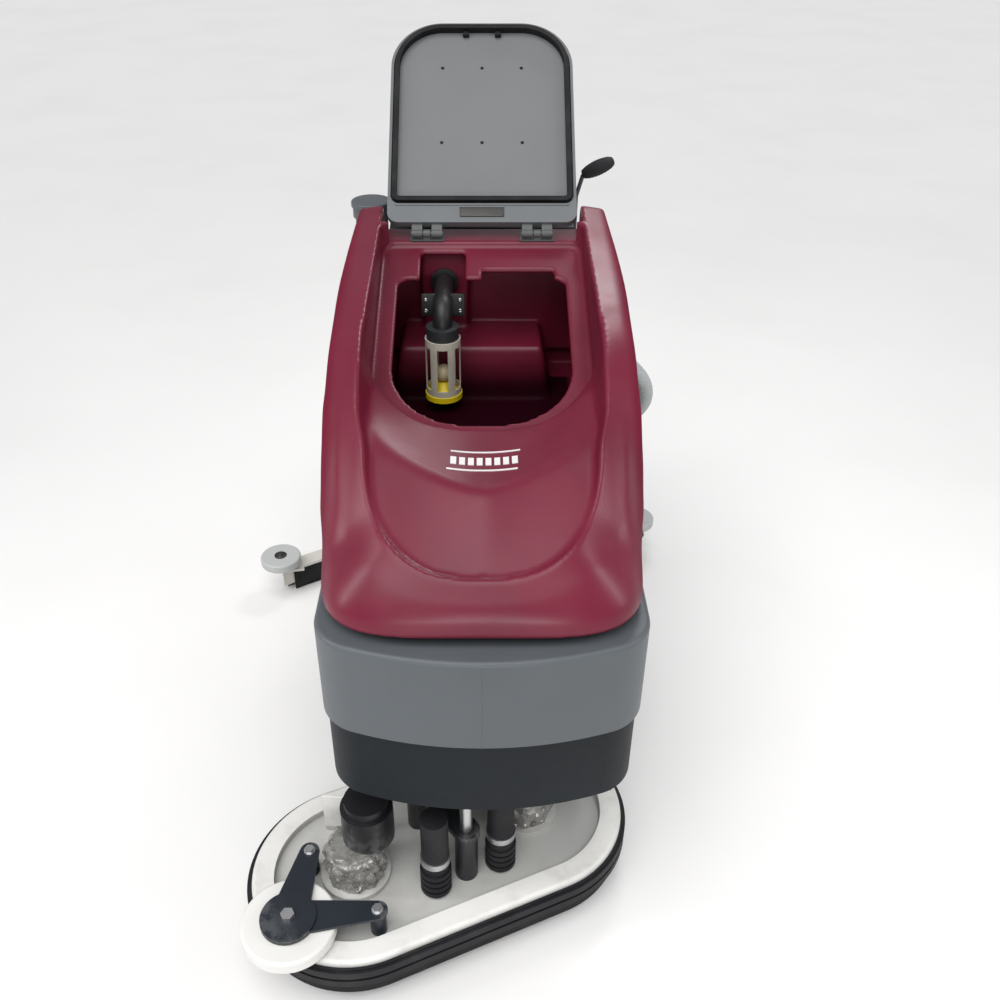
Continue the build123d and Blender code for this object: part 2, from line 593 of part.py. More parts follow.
def squeegee_roller(side):
    wheel = post(side * TIP_X, TIP_Y, GUIDE_WHEEL_R, 100, 124)
    wheel = fillet(wheel.edges(), 5) - post(side * TIP_X, TIP_Y, 8 + RUN, 90, 140)
    return swung(wheel)


def vacuum_hose():
    runs = [math.dist(a, b) for a, b in zip(HOSE, HOSE[1:])]
    radii = []
    for index in range(1, len(HOSE) - 1):
        before = Vector(HOSE[index]) - Vector(HOSE[index - 1])
        after = Vector(HOSE[index + 1]) - Vector(HOSE[index])
        turn = math.radians(before.get_angle(after))
        radii.append(0.45 * min(runs[index - 1], runs[index]) / math.tan(turn / 2))
    path = FilletPolyline(*HOSE, radius=radii)
    tube = sweep(Plane(origin=path @ 0, z_dir=path % 0) * Circle(HOSE_R), path=path)
    print("hose length", round(path.length), "radii", [round(r) for r in radii],
          "volume ratio", round(tube.volume / (math.pi * HOSE_R ** 2 * path.length), 4))
    return tube


# ---- console and controls ----------------------------------------------------------------
def panel_plane():
    (y0, z0), (y1, z1) = CONSOLE[2], CONSOLE[3]
    return Plane(origin=(0, (y0 + y1) / 2, (z0 + z1) / 2), x_dir=(1, 0, 0), z_dir=(0, z0 - z1, y1 - y0))


def on_panel(solid):
    return panel_plane().location * solid


def console_housing():
    housing = side_prism(CONSOLE, -CONSOLE_HALF, CONSOLE_HALF)
    housing = fillet(housing.edges().filter_by(Axis.X).sort_by(Axis.Z)[-3:], 12)
    inner = offset(make_face(Polyline(*[(0, y, z) for y, z in CONSOLE], close=True)), -WALL)
    housing -= extrude(inner, amount=CONSOLE_HALF - WALL, dir=(1, 0, 0), both=True)
    housing -= on_panel(Box(300, 130, 60))
    for side in (-1, 1):
        lug = block(side * 154 - 6, side * 154 + 6, 688, BAIL_Y + 10, BAIL_Z - 10, BAIL_Z + 10)
        housing += lug
        housing -= cross_rod(side * 154 - 10, side * 154 + 10, BAIL_Y, BAIL_Z, BAIL_R + RUN)
    boss = cross_rod(CONSOLE_HALF - 2, CONSOLE_HALF + 12, *LEVER_PIVOT, 16)
    return housing + boss


KEY_AT, KNOB_AT, BUTTON_AT = (-110, -20), (95, -15), ((-50, 30), (10, 30))


def control_panel():
    plate = Pos(0, 0, 3) * Box(340, 165, 6)
    plate = chamfer(plate.edges().filter_by(Axis.Z), 12)
    plate -= Pos(*KEY_AT, 3) * Cylinder(6 + RUN, 10)
    plate -= Pos(*KNOB_AT, 3) * Cylinder(5 + RUN, 10)
    for x, y in BUTTON_AT:
        plate -= Pos(x, y, 3) * Cylinder(11 + RUN, 10)
    return on_panel(plate)


def key_switch():
    key = Pos(*KEY_AT, 3) * Cylinder(6, 12) + Pos(*KEY_AT, 8.1) * Cylinder(13, 4)
    return on_panel(key + Pos(*KEY_AT, 24) * Box(26, 4, 30))


def speed_knob():
    knob = Pos(*KNOB_AT, 15.2) * Cylinder(21, 18) + Pos(*KNOB_AT, 3) * Cylinder(5, 14)
    return on_panel(knob + Pos(KNOB_AT[0], KNOB_AT[1] + 9, 25) * Box(4, 18, 4))


def push_button(at):
    cap = Pos(*at, 5) * Cylinder(11, 14)
    return on_panel(chamfer(cap.faces().sort_by(Axis.Z)[-1].edges(), 2))


def handle_bar():
    points = [(-HANDLE_X, 690, HANDLE_Z), (-HANDLE_X, HANDLE_Y, HANDLE_Z),
              (HANDLE_X, HANDLE_Y, HANDLE_Z), (HANDLE_X, 690, HANDLE_Z)]
    return rod(points, 30, 15)


def handle_grips():
    grips = []
    for side in (-1, 1):
        x0, x1 = sorted((side * 25, side * 130))
        sleeve = cross_rod(x0, x1, HANDLE_Y, HANDLE_Z, 18.5)
        grips.append(fillet(sleeve.edges(), 3) - cross_rod(x0, x1, HANDLE_Y, HANDLE_Z, 15))
    return group(*grips)


def drive_bail():
    """Rod bent to a U whose ends turn outwards into the console's lugs."""
    low, high = (BAIL_Y, BAIL_Z), (BAIL_Y + 40, BAIL_Z + 22)
    end = BAIL_X + 20
    points = [(-end, *low), (-BAIL_X, *low), (-BAIL_X, *high), (BAIL_X, *high), (BAIL_X, *low), (end, *low)]
    return rod(points, 8, BAIL_R)


def fill_neck():
    neck = post(NECK_X, NECK_Y, NECK_R, SOLUTION_Z1, NECK_Z1)
    neck += post(NECK_X, NECK_Y, NECK_R + 5, NECK_Z1 - 22, NECK_Z1)
    neck += block(NECK_X - 16, NECK_X + 16, NECK_Y + 30, NECK_Y + 52, NECK_Z1 - 22, NECK_Z1 - 4)
    neck -= block(NECK_X - 8, NECK_X + 8, NECK_Y + 43, NECK_Y + 60, NECK_Z1 - 30, NECK_Z1)
    neck += cross_rod(NECK_X - 14, NECK_X + 14, NECK_Y + 52, NECK_Z1 - 6, 3)
    return neck - post(NECK_X, NECK_Y, NECK_BORE_R, 700, 1200)


def fill_lid():
    lid = fillet(post(NECK_X, NECK_Y, NECK_R + 8, NECK_Z1 + 1, NECK_Z1 + 13).edges().group_by(Axis.Z)[-1], 4)
    tongue = block(NECK_X - 7, NECK_X + 7, NECK_Y + 30, NECK_Y + 58, NECK_Z1 + 1, NECK_Z1 + 7)
    tongue += block(NECK_X - 7, NECK_X + 7, NECK_Y + 46, NECK_Y + 58, NECK_Z1 - 12, NECK_Z1 + 5)
    return lid + tongue - cross_rod(NECK_X - 20, NECK_X + 20, NECK_Y + 52, NECK_Z1 - 6, 3 + RUN)


def squeegee_lever():
    y, z = LEVER_PIVOT
    x = CONSOLE_HALF + 12
    points = [(x + 6, y, z), (x + 10, y + 42, z + 96), (x + 26, 700, 1118), (x + 96, 702, 1150)]
    path = FilletPolyline(*points, radius=14)
    bar = sweep(Plane(origin=path @ 0, z_dir=path % 0) * Circle(5), path=path)
    return bar + cross_rod(x + 0.5, x + 12, y, z, 13)


def lever_grip():
    x = CONSOLE_HALF + 12
    start, end = Vector(x + 26, 700, 1118), Vector(x + 96, 702, 1150)
    along = (end - start).normalized()
    tilt = Plane(origin=start + along * 22, z_dir=along)
    grip = tilt.location * (Pos(0, 0, 34) * Cylinder(13, 68))
    bore = tilt.location * (Pos(0, 0, 27.5) * Cylinder(5 + RUN, 58))
    return fillet(grip.edges(), 8) - bore


NODES = {
    "chassis_frame": chassis_frame, "base_skirt": base_skirt, "solution_tank": solution_tank,
    "battery_cases": battery_cases, "transaxle": transaxle, "guide_rods": guide_rods,
    "actuator_body": actuator_body, "squeegee_rail": squeegee_rail, "tank_hinge_base": tank_hinge_base,
    "recovery_tank": recovery_tank, "vacuum_motor": vacuum_motor, "hose_port": hose_port,
    "lid_hinge_base": lid_hinge_base, "float_elbow": float_elbow, "float_collar": float_collar,
    "float_cage": float_cage, "float_cap": float_cap, "float_ball": float_ball,
    "lid_shell": lid_shell, "lid_panel": lid_panel, "lid_gasket": lid_gasket,
    "lid_hinge_arms": lid_hinge_arms, "deck_housing": deck_housing, "deck_bumper": deck_bumper,
    "splash_skirt": splash_skirt, "motor_flanges": motor_flanges, "gear_housings": gear_housings,
    "brush_motors": brush_motors, "spring_posts": spring_posts, "deck_fasteners": deck_fasteners,
    "deck_hanger": deck_hanger, "roller_bracket": roller_bracket, "roller_wheel": roller_wheel,
    "brush_left": lambda: brush(*BRUSH_A), "brush_right": lambda: brush(*BRUSH_B),
    "drive_wheel_left": lambda: drive_wheel(-1), "drive_wheel_right": lambda: drive_wheel(1),
    "caster_fork_left": lambda: caster_fork(-1), "caster_fork_right": lambda: caster_fork(1),
    "caster_wheel_left": lambda: caster_wheel(-1), "caster_wheel_right": lambda: caster_wheel(1),
    "squeegee_yoke": squeegee_yoke, "squeegee_body": squeegee_body, "squeegee_blades": squeegee_blades,
    "squeegee_roller_left": lambda: squeegee_roller(-1),
    "squeegee_roller_right": lambda: squeegee_roller(1), "vacuum_hose": vacuum_hose,
    "console_housing": console_housing, "control_panel": control_panel, "key_switch": key_switch,
    "speed_knob": speed_knob, "button_brush": lambda: push_button(BUTTON_AT[0]),
    "button_vacuum": lambda: push_button(BUTTON_AT[1]), "handle_bar": handle_bar,
    "handle_grips": handle_grips, "drive_bail": drive_bail, "fill_neck": fill_neck,
    "fill_lid": fill_lid, "squeegee_lever": squeegee_lever, "lever_grip": lever_grip,
}


def main():
    os.makedirs("parts", exist_ok=True)
    pieces = {}
    for name, make in NODES.items():
        pieces[name] = make()
    fixed = [piece for name, piece in pieces.items() if name != "vacuum_hose"]
    box = Compound(children=[Compound(children=piece.solids()) for piece in fixed]).bounding_box()
    shift = Pos(-(box.min.X + box.max.X) / 2, -(box.min.Y + box.max.Y) / 2, 0)
    print("origin shift", shift.position, "box", box.size)
    for name, piece in pieces.items():
        export_step(shift * Compound(children=piece.solids()), f"parts/{name}.step")


main()
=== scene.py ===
"""Visual model of a walk-behind floor scrubber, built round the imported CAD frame. Metres."""
import math
import bmesh
import bpy
import numpy as np
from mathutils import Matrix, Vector, noise


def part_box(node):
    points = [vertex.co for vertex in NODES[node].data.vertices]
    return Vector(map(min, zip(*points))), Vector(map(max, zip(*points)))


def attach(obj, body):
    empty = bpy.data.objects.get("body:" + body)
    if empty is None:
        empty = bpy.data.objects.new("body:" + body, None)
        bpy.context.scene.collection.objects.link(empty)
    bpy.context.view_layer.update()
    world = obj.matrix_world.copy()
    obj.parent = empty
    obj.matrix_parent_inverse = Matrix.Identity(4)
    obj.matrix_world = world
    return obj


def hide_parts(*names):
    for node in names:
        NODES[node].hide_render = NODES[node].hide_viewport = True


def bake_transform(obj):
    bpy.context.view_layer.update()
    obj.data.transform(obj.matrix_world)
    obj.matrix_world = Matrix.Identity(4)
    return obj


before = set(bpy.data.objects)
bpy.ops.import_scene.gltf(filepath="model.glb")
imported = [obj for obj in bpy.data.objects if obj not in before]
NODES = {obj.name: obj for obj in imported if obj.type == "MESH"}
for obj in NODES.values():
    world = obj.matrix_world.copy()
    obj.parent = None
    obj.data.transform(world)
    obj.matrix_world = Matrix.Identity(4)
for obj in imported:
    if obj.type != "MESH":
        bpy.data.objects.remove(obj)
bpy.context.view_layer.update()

# ---- places: design coordinates in millimetres, x = 0 centre plane, y = 0 drive axle ------
_left, _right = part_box("drive_wheel_left"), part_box("drive_wheel_right")
AXLE = Vector(((_left[0].x + _right[1].x) / 2, (_left[0].y + _left[1].y) / 2, 0))


def at(x, y, z):
    """Design millimetres to the row frame's metres."""
    return Vector((x, y, z)) / 1000 + AXLE


# ---- camera -------------------------------------------------------------------------------
CAMERA_AT, CAMERA_PITCH = (0, -1720, 1810), 34
CENTRE_SHIFT = 0.018


def make_camera():
    data = bpy.data.cameras.new("camera")
    data.lens = data.sensor_width = 36
    data.shift_x = CENTRE_SHIFT
    data.clip_end = 50
    camera = bpy.data.objects.new("camera", data)
    camera.location = at(*CAMERA_AT)
    camera.rotation_euler = (math.radians(90 - CAMERA_PITCH), 0, 0)
    bpy.context.scene.collection.objects.link(camera)
    bpy.context.scene.camera = camera


make_camera()


# ---- suction hose -------------------------------------------------------------------------
HOSE_ROUTE = [
    (-73.6, 693.2, 128), (-73.6, 693.2, 200), (-59, 699, 262), (-18, 707, 310), (44, 714, 340),
    (115, 716, 360), (188, 707, 378), (258, 685, 404), (320, 653, 440), (369, 614, 488),
    (403, 574, 542), (417, 538, 600), (404, 514, 660), (364, 497, 712), (311, 480, 757),
    (268, 464, 810), (250, 456, 872), (250, 456, 945),
]
HOSE_RADIUS, HOSE_LENGTH, RIB_PITCH, RIB_DEPTH = 20, 1204, 10.5, 1.9
HOSE_SIDES, RIB_STEPS = 32, 7


def route_line(name, route, resolution=24):
    """Points of the smooth NURBS line that has the route as its control points."""
    data = bpy.data.curves.new(name, "CURVE")
    data.dimensions = "3D"
    data.resolution_u = resolution
    spline = data.splines.new("NURBS")
    spline.points.add(len(route) - 1)
    for point, place in zip(spline.points, route):
        point.co = (*at(*place), 1)
    spline.order_u = 3
    spline.use_endpoint_u = True
    obj = bpy.data.objects.new(name, data)
    bpy.context.scene.collection.objects.link(obj)
    bpy.context.view_layer.update()
    mesh = bpy.data.meshes.new_from_object(obj)
    line = np.array([vertex.co for vertex in mesh.vertices])
    bpy.data.objects.remove(obj)
    bpy.data.meshes.remove(mesh)
    bpy.data.curves.remove(data)
    return line


def along(line, count):
    """count points evenly spaced along a line, with their tangents and distances."""
    gone = np.concatenate([[0], np.cumsum(np.linalg.norm(np.diff(line, axis=0), axis=1))])
    wanted = np.linspace(0, gone[-1], count)
    points = np.stack([np.interp(wanted, gone, line[:, k]) for k in range(3)], -1)
    tangents = np.gradient(points, axis=0)
    return points, tangents / np.linalg.norm(tangents, axis=1, keepdims=True), wanted


def ring_frames(tangents):
    """Side vectors that turn with the line without twisting."""
    side = np.cross(tangents[0], (1.0, 0.3, 0.2))
    sides = []
    for tangent in tangents:
        side = side - tangent * side.dot(tangent)
        side /= np.linalg.norm(side)
        sides.append(side.copy())
    sides = np.array(sides)
    return sides, np.cross(tangents, sides)


def tube(name, line, radius_at, count, sides):
    """Closed tube along a line; radius_at gives the radius in metres at a distance along it."""
    points, tangents, gone = along(line, count)
    across, up = ring_frames(tangents)
    radius = radius_at(gone)
    angle = np.linspace(0, 2 * math.pi, sides, endpoint=False)
    rings = across[:, None] * np.cos(angle)[None, :, None] + up[:, None] * np.sin(angle)[None, :, None]
    verts = (points[:, None] + rings * radius[:, None, None]).reshape(-1, 3)
    faces = [tuple(range(sides))[::-1], tuple((count - 1) * sides + k for k in range(sides))]
    for i in range(count - 1):
        for k in range(sides):
            n = (k + 1) % sides
            faces.append((i * sides + k, i * sides + n, (i + 1) * sides + n, (i + 1) * sides + k))
    mesh = bpy.data.meshes.new(name)
    mesh.from_pydata(verts.tolist(), [], faces)
    mesh.shade_smooth()
    obj = bpy.data.objects.new(name, mesh)
    bpy.context.scene.collection.objects.link(obj)
    return obj


def make_hose():
    line = route_line("hose_line", HOSE_ROUTE)
    pitch, depth, radius = RIB_PITCH / 1000, RIB_DEPTH / 1000, HOSE_RADIUS / 1000

    def ribbed(gone):
        return radius - depth * (0.5 + 0.5 * np.cos(2 * math.pi * gone / pitch)) ** 1.5

    count = int(HOSE_LENGTH / RIB_PITCH * RIB_STEPS)
    hose = tube("suction_hose", line, ribbed, count, HOSE_SIDES)
    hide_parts("vacuum_hose")
    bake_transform(hose)
    return hose


hose = make_hose()


# ---- node material helpers ----------------------------------------------------------------
MIX_FACTOR, MIX_A, MIX_B, MIX_RESULT = 0, 6, 7, 2    # the colour sockets of the Mix node


class Shade:
    """A node material with the noise, wear and bump that its surface shows."""

    def __init__(self, name, color, rough, metal=0.0):
        self.mat = bpy.data.materials.new(name)
        self.mat.use_nodes = True
        self.tree = self.mat.node_tree
        self.bsdf = self.tree.nodes["Principled BSDF"]
        self.coords = self.tree.nodes.new("ShaderNodeTexCoord").outputs["Object"]
        self.color = self.rgb(color)
        self.rough = self.value(rough)
        self.height = None
        self.bsdf.inputs["Metallic"].default_value = metal

    def node(self, kind, **inputs):
        node = self.tree.nodes.new(kind)
        for key, value in inputs.items():
            socket = node.inputs[key.replace("_", " ")]
            if isinstance(value, bpy.types.NodeSocket):
                self.tree.links.new(value, socket)
            else:
                socket.default_value = value
        return node

    def rgb(self, color):
        node = self.tree.nodes.new("ShaderNodeRGB")
        node.outputs[0].default_value = (*color, 1)
        return node.outputs[0]

    def value(self, number):
        node = self.tree.nodes.new("ShaderNodeValue")
        node.outputs[0].default_value = number
        return node.outputs[0]

    def math(self, operation, a, b=0.0, clamp=False):
        node = self.tree.nodes.new("ShaderNodeMath")
        node.operation = operation
        node.use_clamp = clamp
        for socket, value in zip(node.inputs, (a, b)):
            if isinstance(value, bpy.types.NodeSocket):
                self.tree.links.new(value, socket)
            else:
                socket.default_value = value
        return node.outputs[0]

    def noise(self, scale, detail=3.0, rough=0.55, stretch=(1, 1, 1)):
        mapped = self.node("ShaderNodeMapping", Vector=self.coords, Scale=stretch).outputs[0]
        return self.node("ShaderNodeTexNoise", Vector=mapped, Scale=scale, Detail=detail,
                         Roughness=rough).outputs["Fac"]

    def axes(self):
        return self.node("ShaderNodeSeparateXYZ", Vector=self.coords).outputs[:3]

    def ramp(self, fac, low, high, out_low=0.0, out_high=1.0):
        node = self.node("ShaderNodeMapRange", Value=fac)
        node.interpolation_type = "SMOOTHSTEP"
        node.inputs["From Min"].default_value = low
        node.inputs["From Max"].default_value = high
        node.inputs["To Min"].default_value = out_low
        node.inputs["To Max"].default_value = out_high
        return node.outputs[0]

    def blend(self, fac, color, amount=1.0):
        """Mixes a colour over the current one by fac times amount."""
        mix = self.tree.nodes.new("ShaderNodeMix")
        mix.data_type = "RGBA"
        source = color if isinstance(color, bpy.types.NodeSocket) else self.rgb(color)
        self.tree.links.new(self.math("MULTIPLY", fac, amount, True), mix.inputs[MIX_FACTOR])
        self.tree.links.new(self.color, mix.inputs[MIX_A])
        self.tree.links.new(source, mix.inputs[MIX_B])
        self.color = mix.outputs[MIX_RESULT]
        return self

    def roughen(self, fac, amount):
        self.rough = self.math("ADD", self.rough, self.math("MULTIPLY", fac, amount), True)
        return self

    def bump(self, fac, depth, strength=1.0):
        """depth is the height in metres of fac 0 to 1."""
        height = self.math("MULTIPLY", fac, depth)
        self.height = height if self.height is None else self.math("ADD", self.height, height)
        self.strength = strength
        return self

    def wear(self, color, amount=0.5, low=0.52, high=0.6):
        """Lighter or darker convex edges, broken up by noise."""
        pointy = self.tree.nodes.new("ShaderNodeNewGeometry").outputs["Pointiness"]
        edge = self.ramp(pointy, low, high)
        patchy = self.ramp(self.noise(60, 4), 0.35, 0.6)
        return self.blend(self.math("MULTIPLY", edge, patchy), color, amount)

    def dust(self, color, amount=0.3, scale=9):
        patch = self.ramp(self.noise(scale, 5, 0.65), 0.45, 0.75)
        self.blend(patch, color, amount)
        return self.roughen(patch, 0.15 * amount)

    def done(self):
        link = self.tree.links.new
        link(self.color, self.bsdf.inputs["Base Color"])
        link(self.rough, self.bsdf.inputs["Roughness"])
        if self.height is not None:
            bump = self.node("ShaderNodeBump", Height=self.height, Strength=self.strength, Distance=1.0)
            link(bump.outputs[0], self.bsdf.inputs["Normal"])
        return self.mat


def moulded(name, color, rough=0.42, grain=0.00012, tint=0.12, coat=0.0, shine=0.5):
    """Moulded plastic: slight colour drift, fine leather grain and handling haze."""
    shade = Shade(name, color, rough)
    drift = shade.noise(4, 3)
    dark = tuple(channel * (1 - tint * 2) for channel in color)
    shade.blend(shade.ramp(drift, 0.35, 0.75), dark, 0.7)
    shade.roughen(shade.noise(35, 4), 0.10)
    shade.bump(shade.noise(900, 2), grain)
    shade.bump(shade.noise(22, 2), grain * 4)
    shade.bsdf.inputs["Coat Weight"].default_value = coat
    shade.bsdf.inputs["Coat Roughness"].default_value = 0.25
    shade.bsdf.inputs["Specular IOR Level"].default_value = shine
    return shade


def rubbery(name, color=(0.018, 0.018, 0.02), rough=0.62):
    shade = Shade(name, color, rough)
    shade.blend(shade.ramp(shade.noise(14, 5), 0.45, 0.8), (0.05, 0.05, 0.05), 0.3)
    shade.roughen(shade.noise(40, 3), 0.15)
    shade.bsdf.inputs["Specular IOR Level"].default_value = 0.25
    return shade.bump(shade.noise(700, 3), 0.00015)


def metal(name, color, rough=0.3, stretch=(1, 1, 30), scratch=0.00005):
    shade = Shade(name, color, rough, 1.0)
    lines = shade.noise(260, 3, 0.6, stretch)
    shade.roughen(lines, 0.22)
    shade.blend(shade.ramp(shade.noise(18, 5), 0.5, 0.8), tuple(c * 0.55 for c in color), 0.4)
    return shade.bump(lines, scratch)


def painted(name, color, rough=0.38, metal_show=(0.4, 0.4, 0.4)):
    shade = Shade(name, color, rough)
    shade.blend(shade.ramp(shade.noise(8, 4), 0.4, 0.8), tuple(c * 0.75 for c in color), 0.6)
    shade.wear(metal_show, 0.35, 0.56, 0.68)
    shade.roughen(shade.noise(50, 4), 0.12)
    return shade.bump(shade.noise(450, 3), 0.0001)


# ---- mesh helpers -------------------------------------------------------------------------
def new_object(name, verts, faces, smooth=True):
    """verts are design millimetres."""
    mesh = bpy.data.meshes.new(name)
    mesh.from_pydata([at(*v) for v in verts], [], faces)
    mesh.validate()
    obj = bpy.data.objects.new(name, mesh)
    bpy.context.scene.collection.objects.link(obj)
    if smooth:
        mesh.shade_smooth()
    return obj


def fix_normals(obj):
    bm = bmesh.new()
    bm.from_mesh(obj.data)
    bmesh.ops.recalc_face_normals(bm, faces=bm.faces)
    bm.to_mesh(obj.data)
    bm.free()


def apply(obj, kind, **settings):
    """Adds a modifier, applies it and leaves a plain mesh."""
    modifier = obj.modifiers.new(kind, kind)
    for key, value in settings.items():
        setattr(modifier, key, value)
    with bpy.context.temp_override(object=obj, active_object=obj, selected_objects=[obj]):
        bpy.ops.object.modifier_apply(modifier=modifier.name)


def cut(obj, tool):
    apply(obj, "BOOLEAN", object=tool, operation="DIFFERENCE", solver="MANIFOLD")
    bpy.data.objects.remove(tool)


def step(value, low, high):
    t = np.clip((value - low) / (high - low), 0, 1)
    return t * t * (3 - 2 * t)


def soft_min(a, b, radius):
    h = np.clip(0.5 + 0.5 * (b - a) / radius, 0, 1)
    return b * (1 - h) + a * h - radius * h * (1 - h)


def curve_through(points, x):
    """Smooth line through (x, value) points."""
    px, py = (np.array(c, float) for c in zip(*points))
    slope = np.gradient(py, px)
    i = np.clip(np.searchsorted(px, x) - 1, 0, len(px) - 2)
    width = px[i + 1] - px[i]
    t = np.clip((x - px[i]) / width, 0, 1)
    h0, h1 = (1 + 2 * t) * (1 - t) ** 2, t * t * (3 - 2 * t)
    h2, h3 = t * (1 - t) ** 2, t * t * (t - 1)
    return h0 * py[i] + h1 * py[i + 1] + (h2 * slope[i] + h3 * slope[i + 1]) * width


def slab(name, x, y, top, bottom):
    """Closed solid between two height fields on one grid."""
    rows, columns = x.shape
    verts = [(*v,) for v in np.stack([x, y, top], -1).reshape(-1, 3)]
    verts += [(*v,) for v in np.stack([x, y, bottom], -1).reshape(-1, 3)]
    size = rows * columns
    faces = []
    for i in range(rows - 1):
        for j in range(columns - 1):
            a = i * columns + j
            b, c, d = a + 1, a + columns + 1, a + columns
            faces += [(a, b, c, d), (d + size, c + size, b + size, a + size)]
    rim = list(range(columns)) + [i * columns + columns - 1 for i in range(1, rows)]
    rim += [(rows - 1) * columns + j for j in range(columns - 2, -1, -1)]
    rim += [i * columns for i in range(rows - 2, 0, -1)]
    for a, b in zip(rim, rim[1:] + rim[:1]):
        faces.append((a, a + size, b + size, b))
    obj = new_object(name, verts, faces)
    fix_normals(obj)
    return obj


def rounded_outline(x0, x1, y0, y1, radii, steps=10):
    """Rectangle with rounded corners; radii run rear right, rear left, front left, front right."""
    corners = [(x1, y1, 0), (x0, y1, 90), (x0, y0, 180), (x1, y0, 270)]
    points = []
    for (cx, cy, start), r in zip(corners, radii):
        mx = cx - r if cx == x1 else cx + r
        my = cy - r if cy == y1 else cy + r
        for k in range(steps + 1):
            angle = math.radians(start + 90 * k / steps)
            points.append((mx + r * math.cos(angle), my + r * math.sin(angle)))
    return points


def prism(name, outline, bottom, top):
    """Solid over a plan outline; bottom and top are heights or functions of y."""
    low = bottom if callable(bottom) else lambda y: bottom
    high = top if callable(top) else lambda y: top
    count = len(outline)
    verts = [(x, y, low(y)) for x, y in outline] + [(x, y, high(y)) for x, y in outline]
    faces = [tuple(range(count))[::-1], tuple(range(count, 2 * count))]
    faces += [(k, (k + 1) % count, (k + 1) % count + count, k + count) for k in range(count)]
    obj = new_object(name, verts, faces, smooth=False)
    fix_normals(obj)
    return obj


def box_solid(name, x0, x1, y0, y1, z0, z1):
    return prism(name, [(x0, y0), (x1, y0), (x1, y1), (x0, y1)], z0, z1)


# ---- recovery tank skin -------------------------------------------------------------------
TANK_HALF, TANK_REACH, TANK_REAR, TANK_FLOOR, SHOULDER = 272, 266, 438, 753, 24
FOCUS_Y, PLAN_POWER, U_POWER = -280, 4.3, 2.6
BAND_HALF, BAND_REACH = 238, 249                # outer edge of the U-shaped band
SHIELD_HALF, SHIELD_REACH = 195, 225            # inner edge of the band, round the sunk shield
HULL = [(-600, 700), (-560, 762), (-540, 795), (-530, 806), (-505, 836), (-480, 866), (-417, 926),
        (-341, 982), (-252, 1034), (-112, 1071), (86, 1098), (260, 1122), (440, 1148)]
ROLL_FOOT = 762                                 # height at which the front wall rolls down to the plan
SEAT_TILT = math.tan(math.radians(18.6))
RECESS_HALF, RECESS_Y, RECESS_REAR, RECESS_CORNER, RECESS_REAR_CORNER = 212, -152, 352, 110, 30
SKIN, INSET, ABOVE = 12, 26, 1300               # wall over the cavity, wall at its sides, clear of the tank
HUMP_TOP, CAVITY_FLOOR = 875, TANK_FLOOR + 9
VOXEL, SMOOTHINGS = 0.0037, 12
SIDE_SWELL = [(-560, 0), (-440, 4), (-300, 12), (-100, 14), (120, 18), (300, 15), (440, 8)]


def seat_height(y):
    """The sloping ledge that the lid's seal closes on."""
    return 897 + (y + 146) * SEAT_TILT


def rounded_ring(x, y, half, reach, power):
    """Grows outwards from 0, and is 1 on a rounded U of that half width and forward reach."""
    return ((np.abs(x) / half) ** power + (np.clip(FOCUS_Y - y, 0, None) / reach) ** power) ** (1 / power)


def tank_front(x, inset=0):
    """Front edge of the tank in plan."""
    across = np.clip(np.abs(x) / (TANK_HALF - inset), 0, 1)
    return FOCUS_Y - (TANK_REACH - inset) * (1 - across ** PLAN_POWER) ** (1 / PLAN_POWER)


def crown_height(x, y):
    drop = 160 * (np.abs(x) / TANK_HALF) ** 2.5 * (0.12 + 0.88 * step(y, -535, -390))
    return curve_through(HULL, y - drop)


def hull_height(x, y):
    """Crown inside the band, and outside it a wall that rolls down to the plan's outline."""
    beyond = np.clip(rounded_ring(x, y, BAND_HALF, BAND_REACH, U_POWER), 1, None)
    room = np.clip(1 - rounded_ring(x, y, TANK_HALF, TANK_REACH, PLAN_POWER), 0, 1)
    part = room / (room + beyond - 1 + 1e-6)
    rim = crown_height(x / beyond, np.where(y < FOCUS_Y, FOCUS_Y + (y - FOCUS_Y) / beyond, y))
    rolled = ROLL_FOOT + (rim - ROLL_FOOT) * (0.5 * np.sqrt(1 - (1 - part) ** 2) + 0.5 * part)
    inward = TANK_HALF - np.abs(x)
    near = np.clip(SHOULDER - inward, 0, SHOULDER)
    leaning = soft_min(crown_height(x, y), 786 + 24 * inward, 16)
    upright = leaning - SHOULDER + np.sqrt(SHOULDER ** 2 - near ** 2)
    along = step(y, -370, -190)
    return rolled * (1 - along) + upright * along


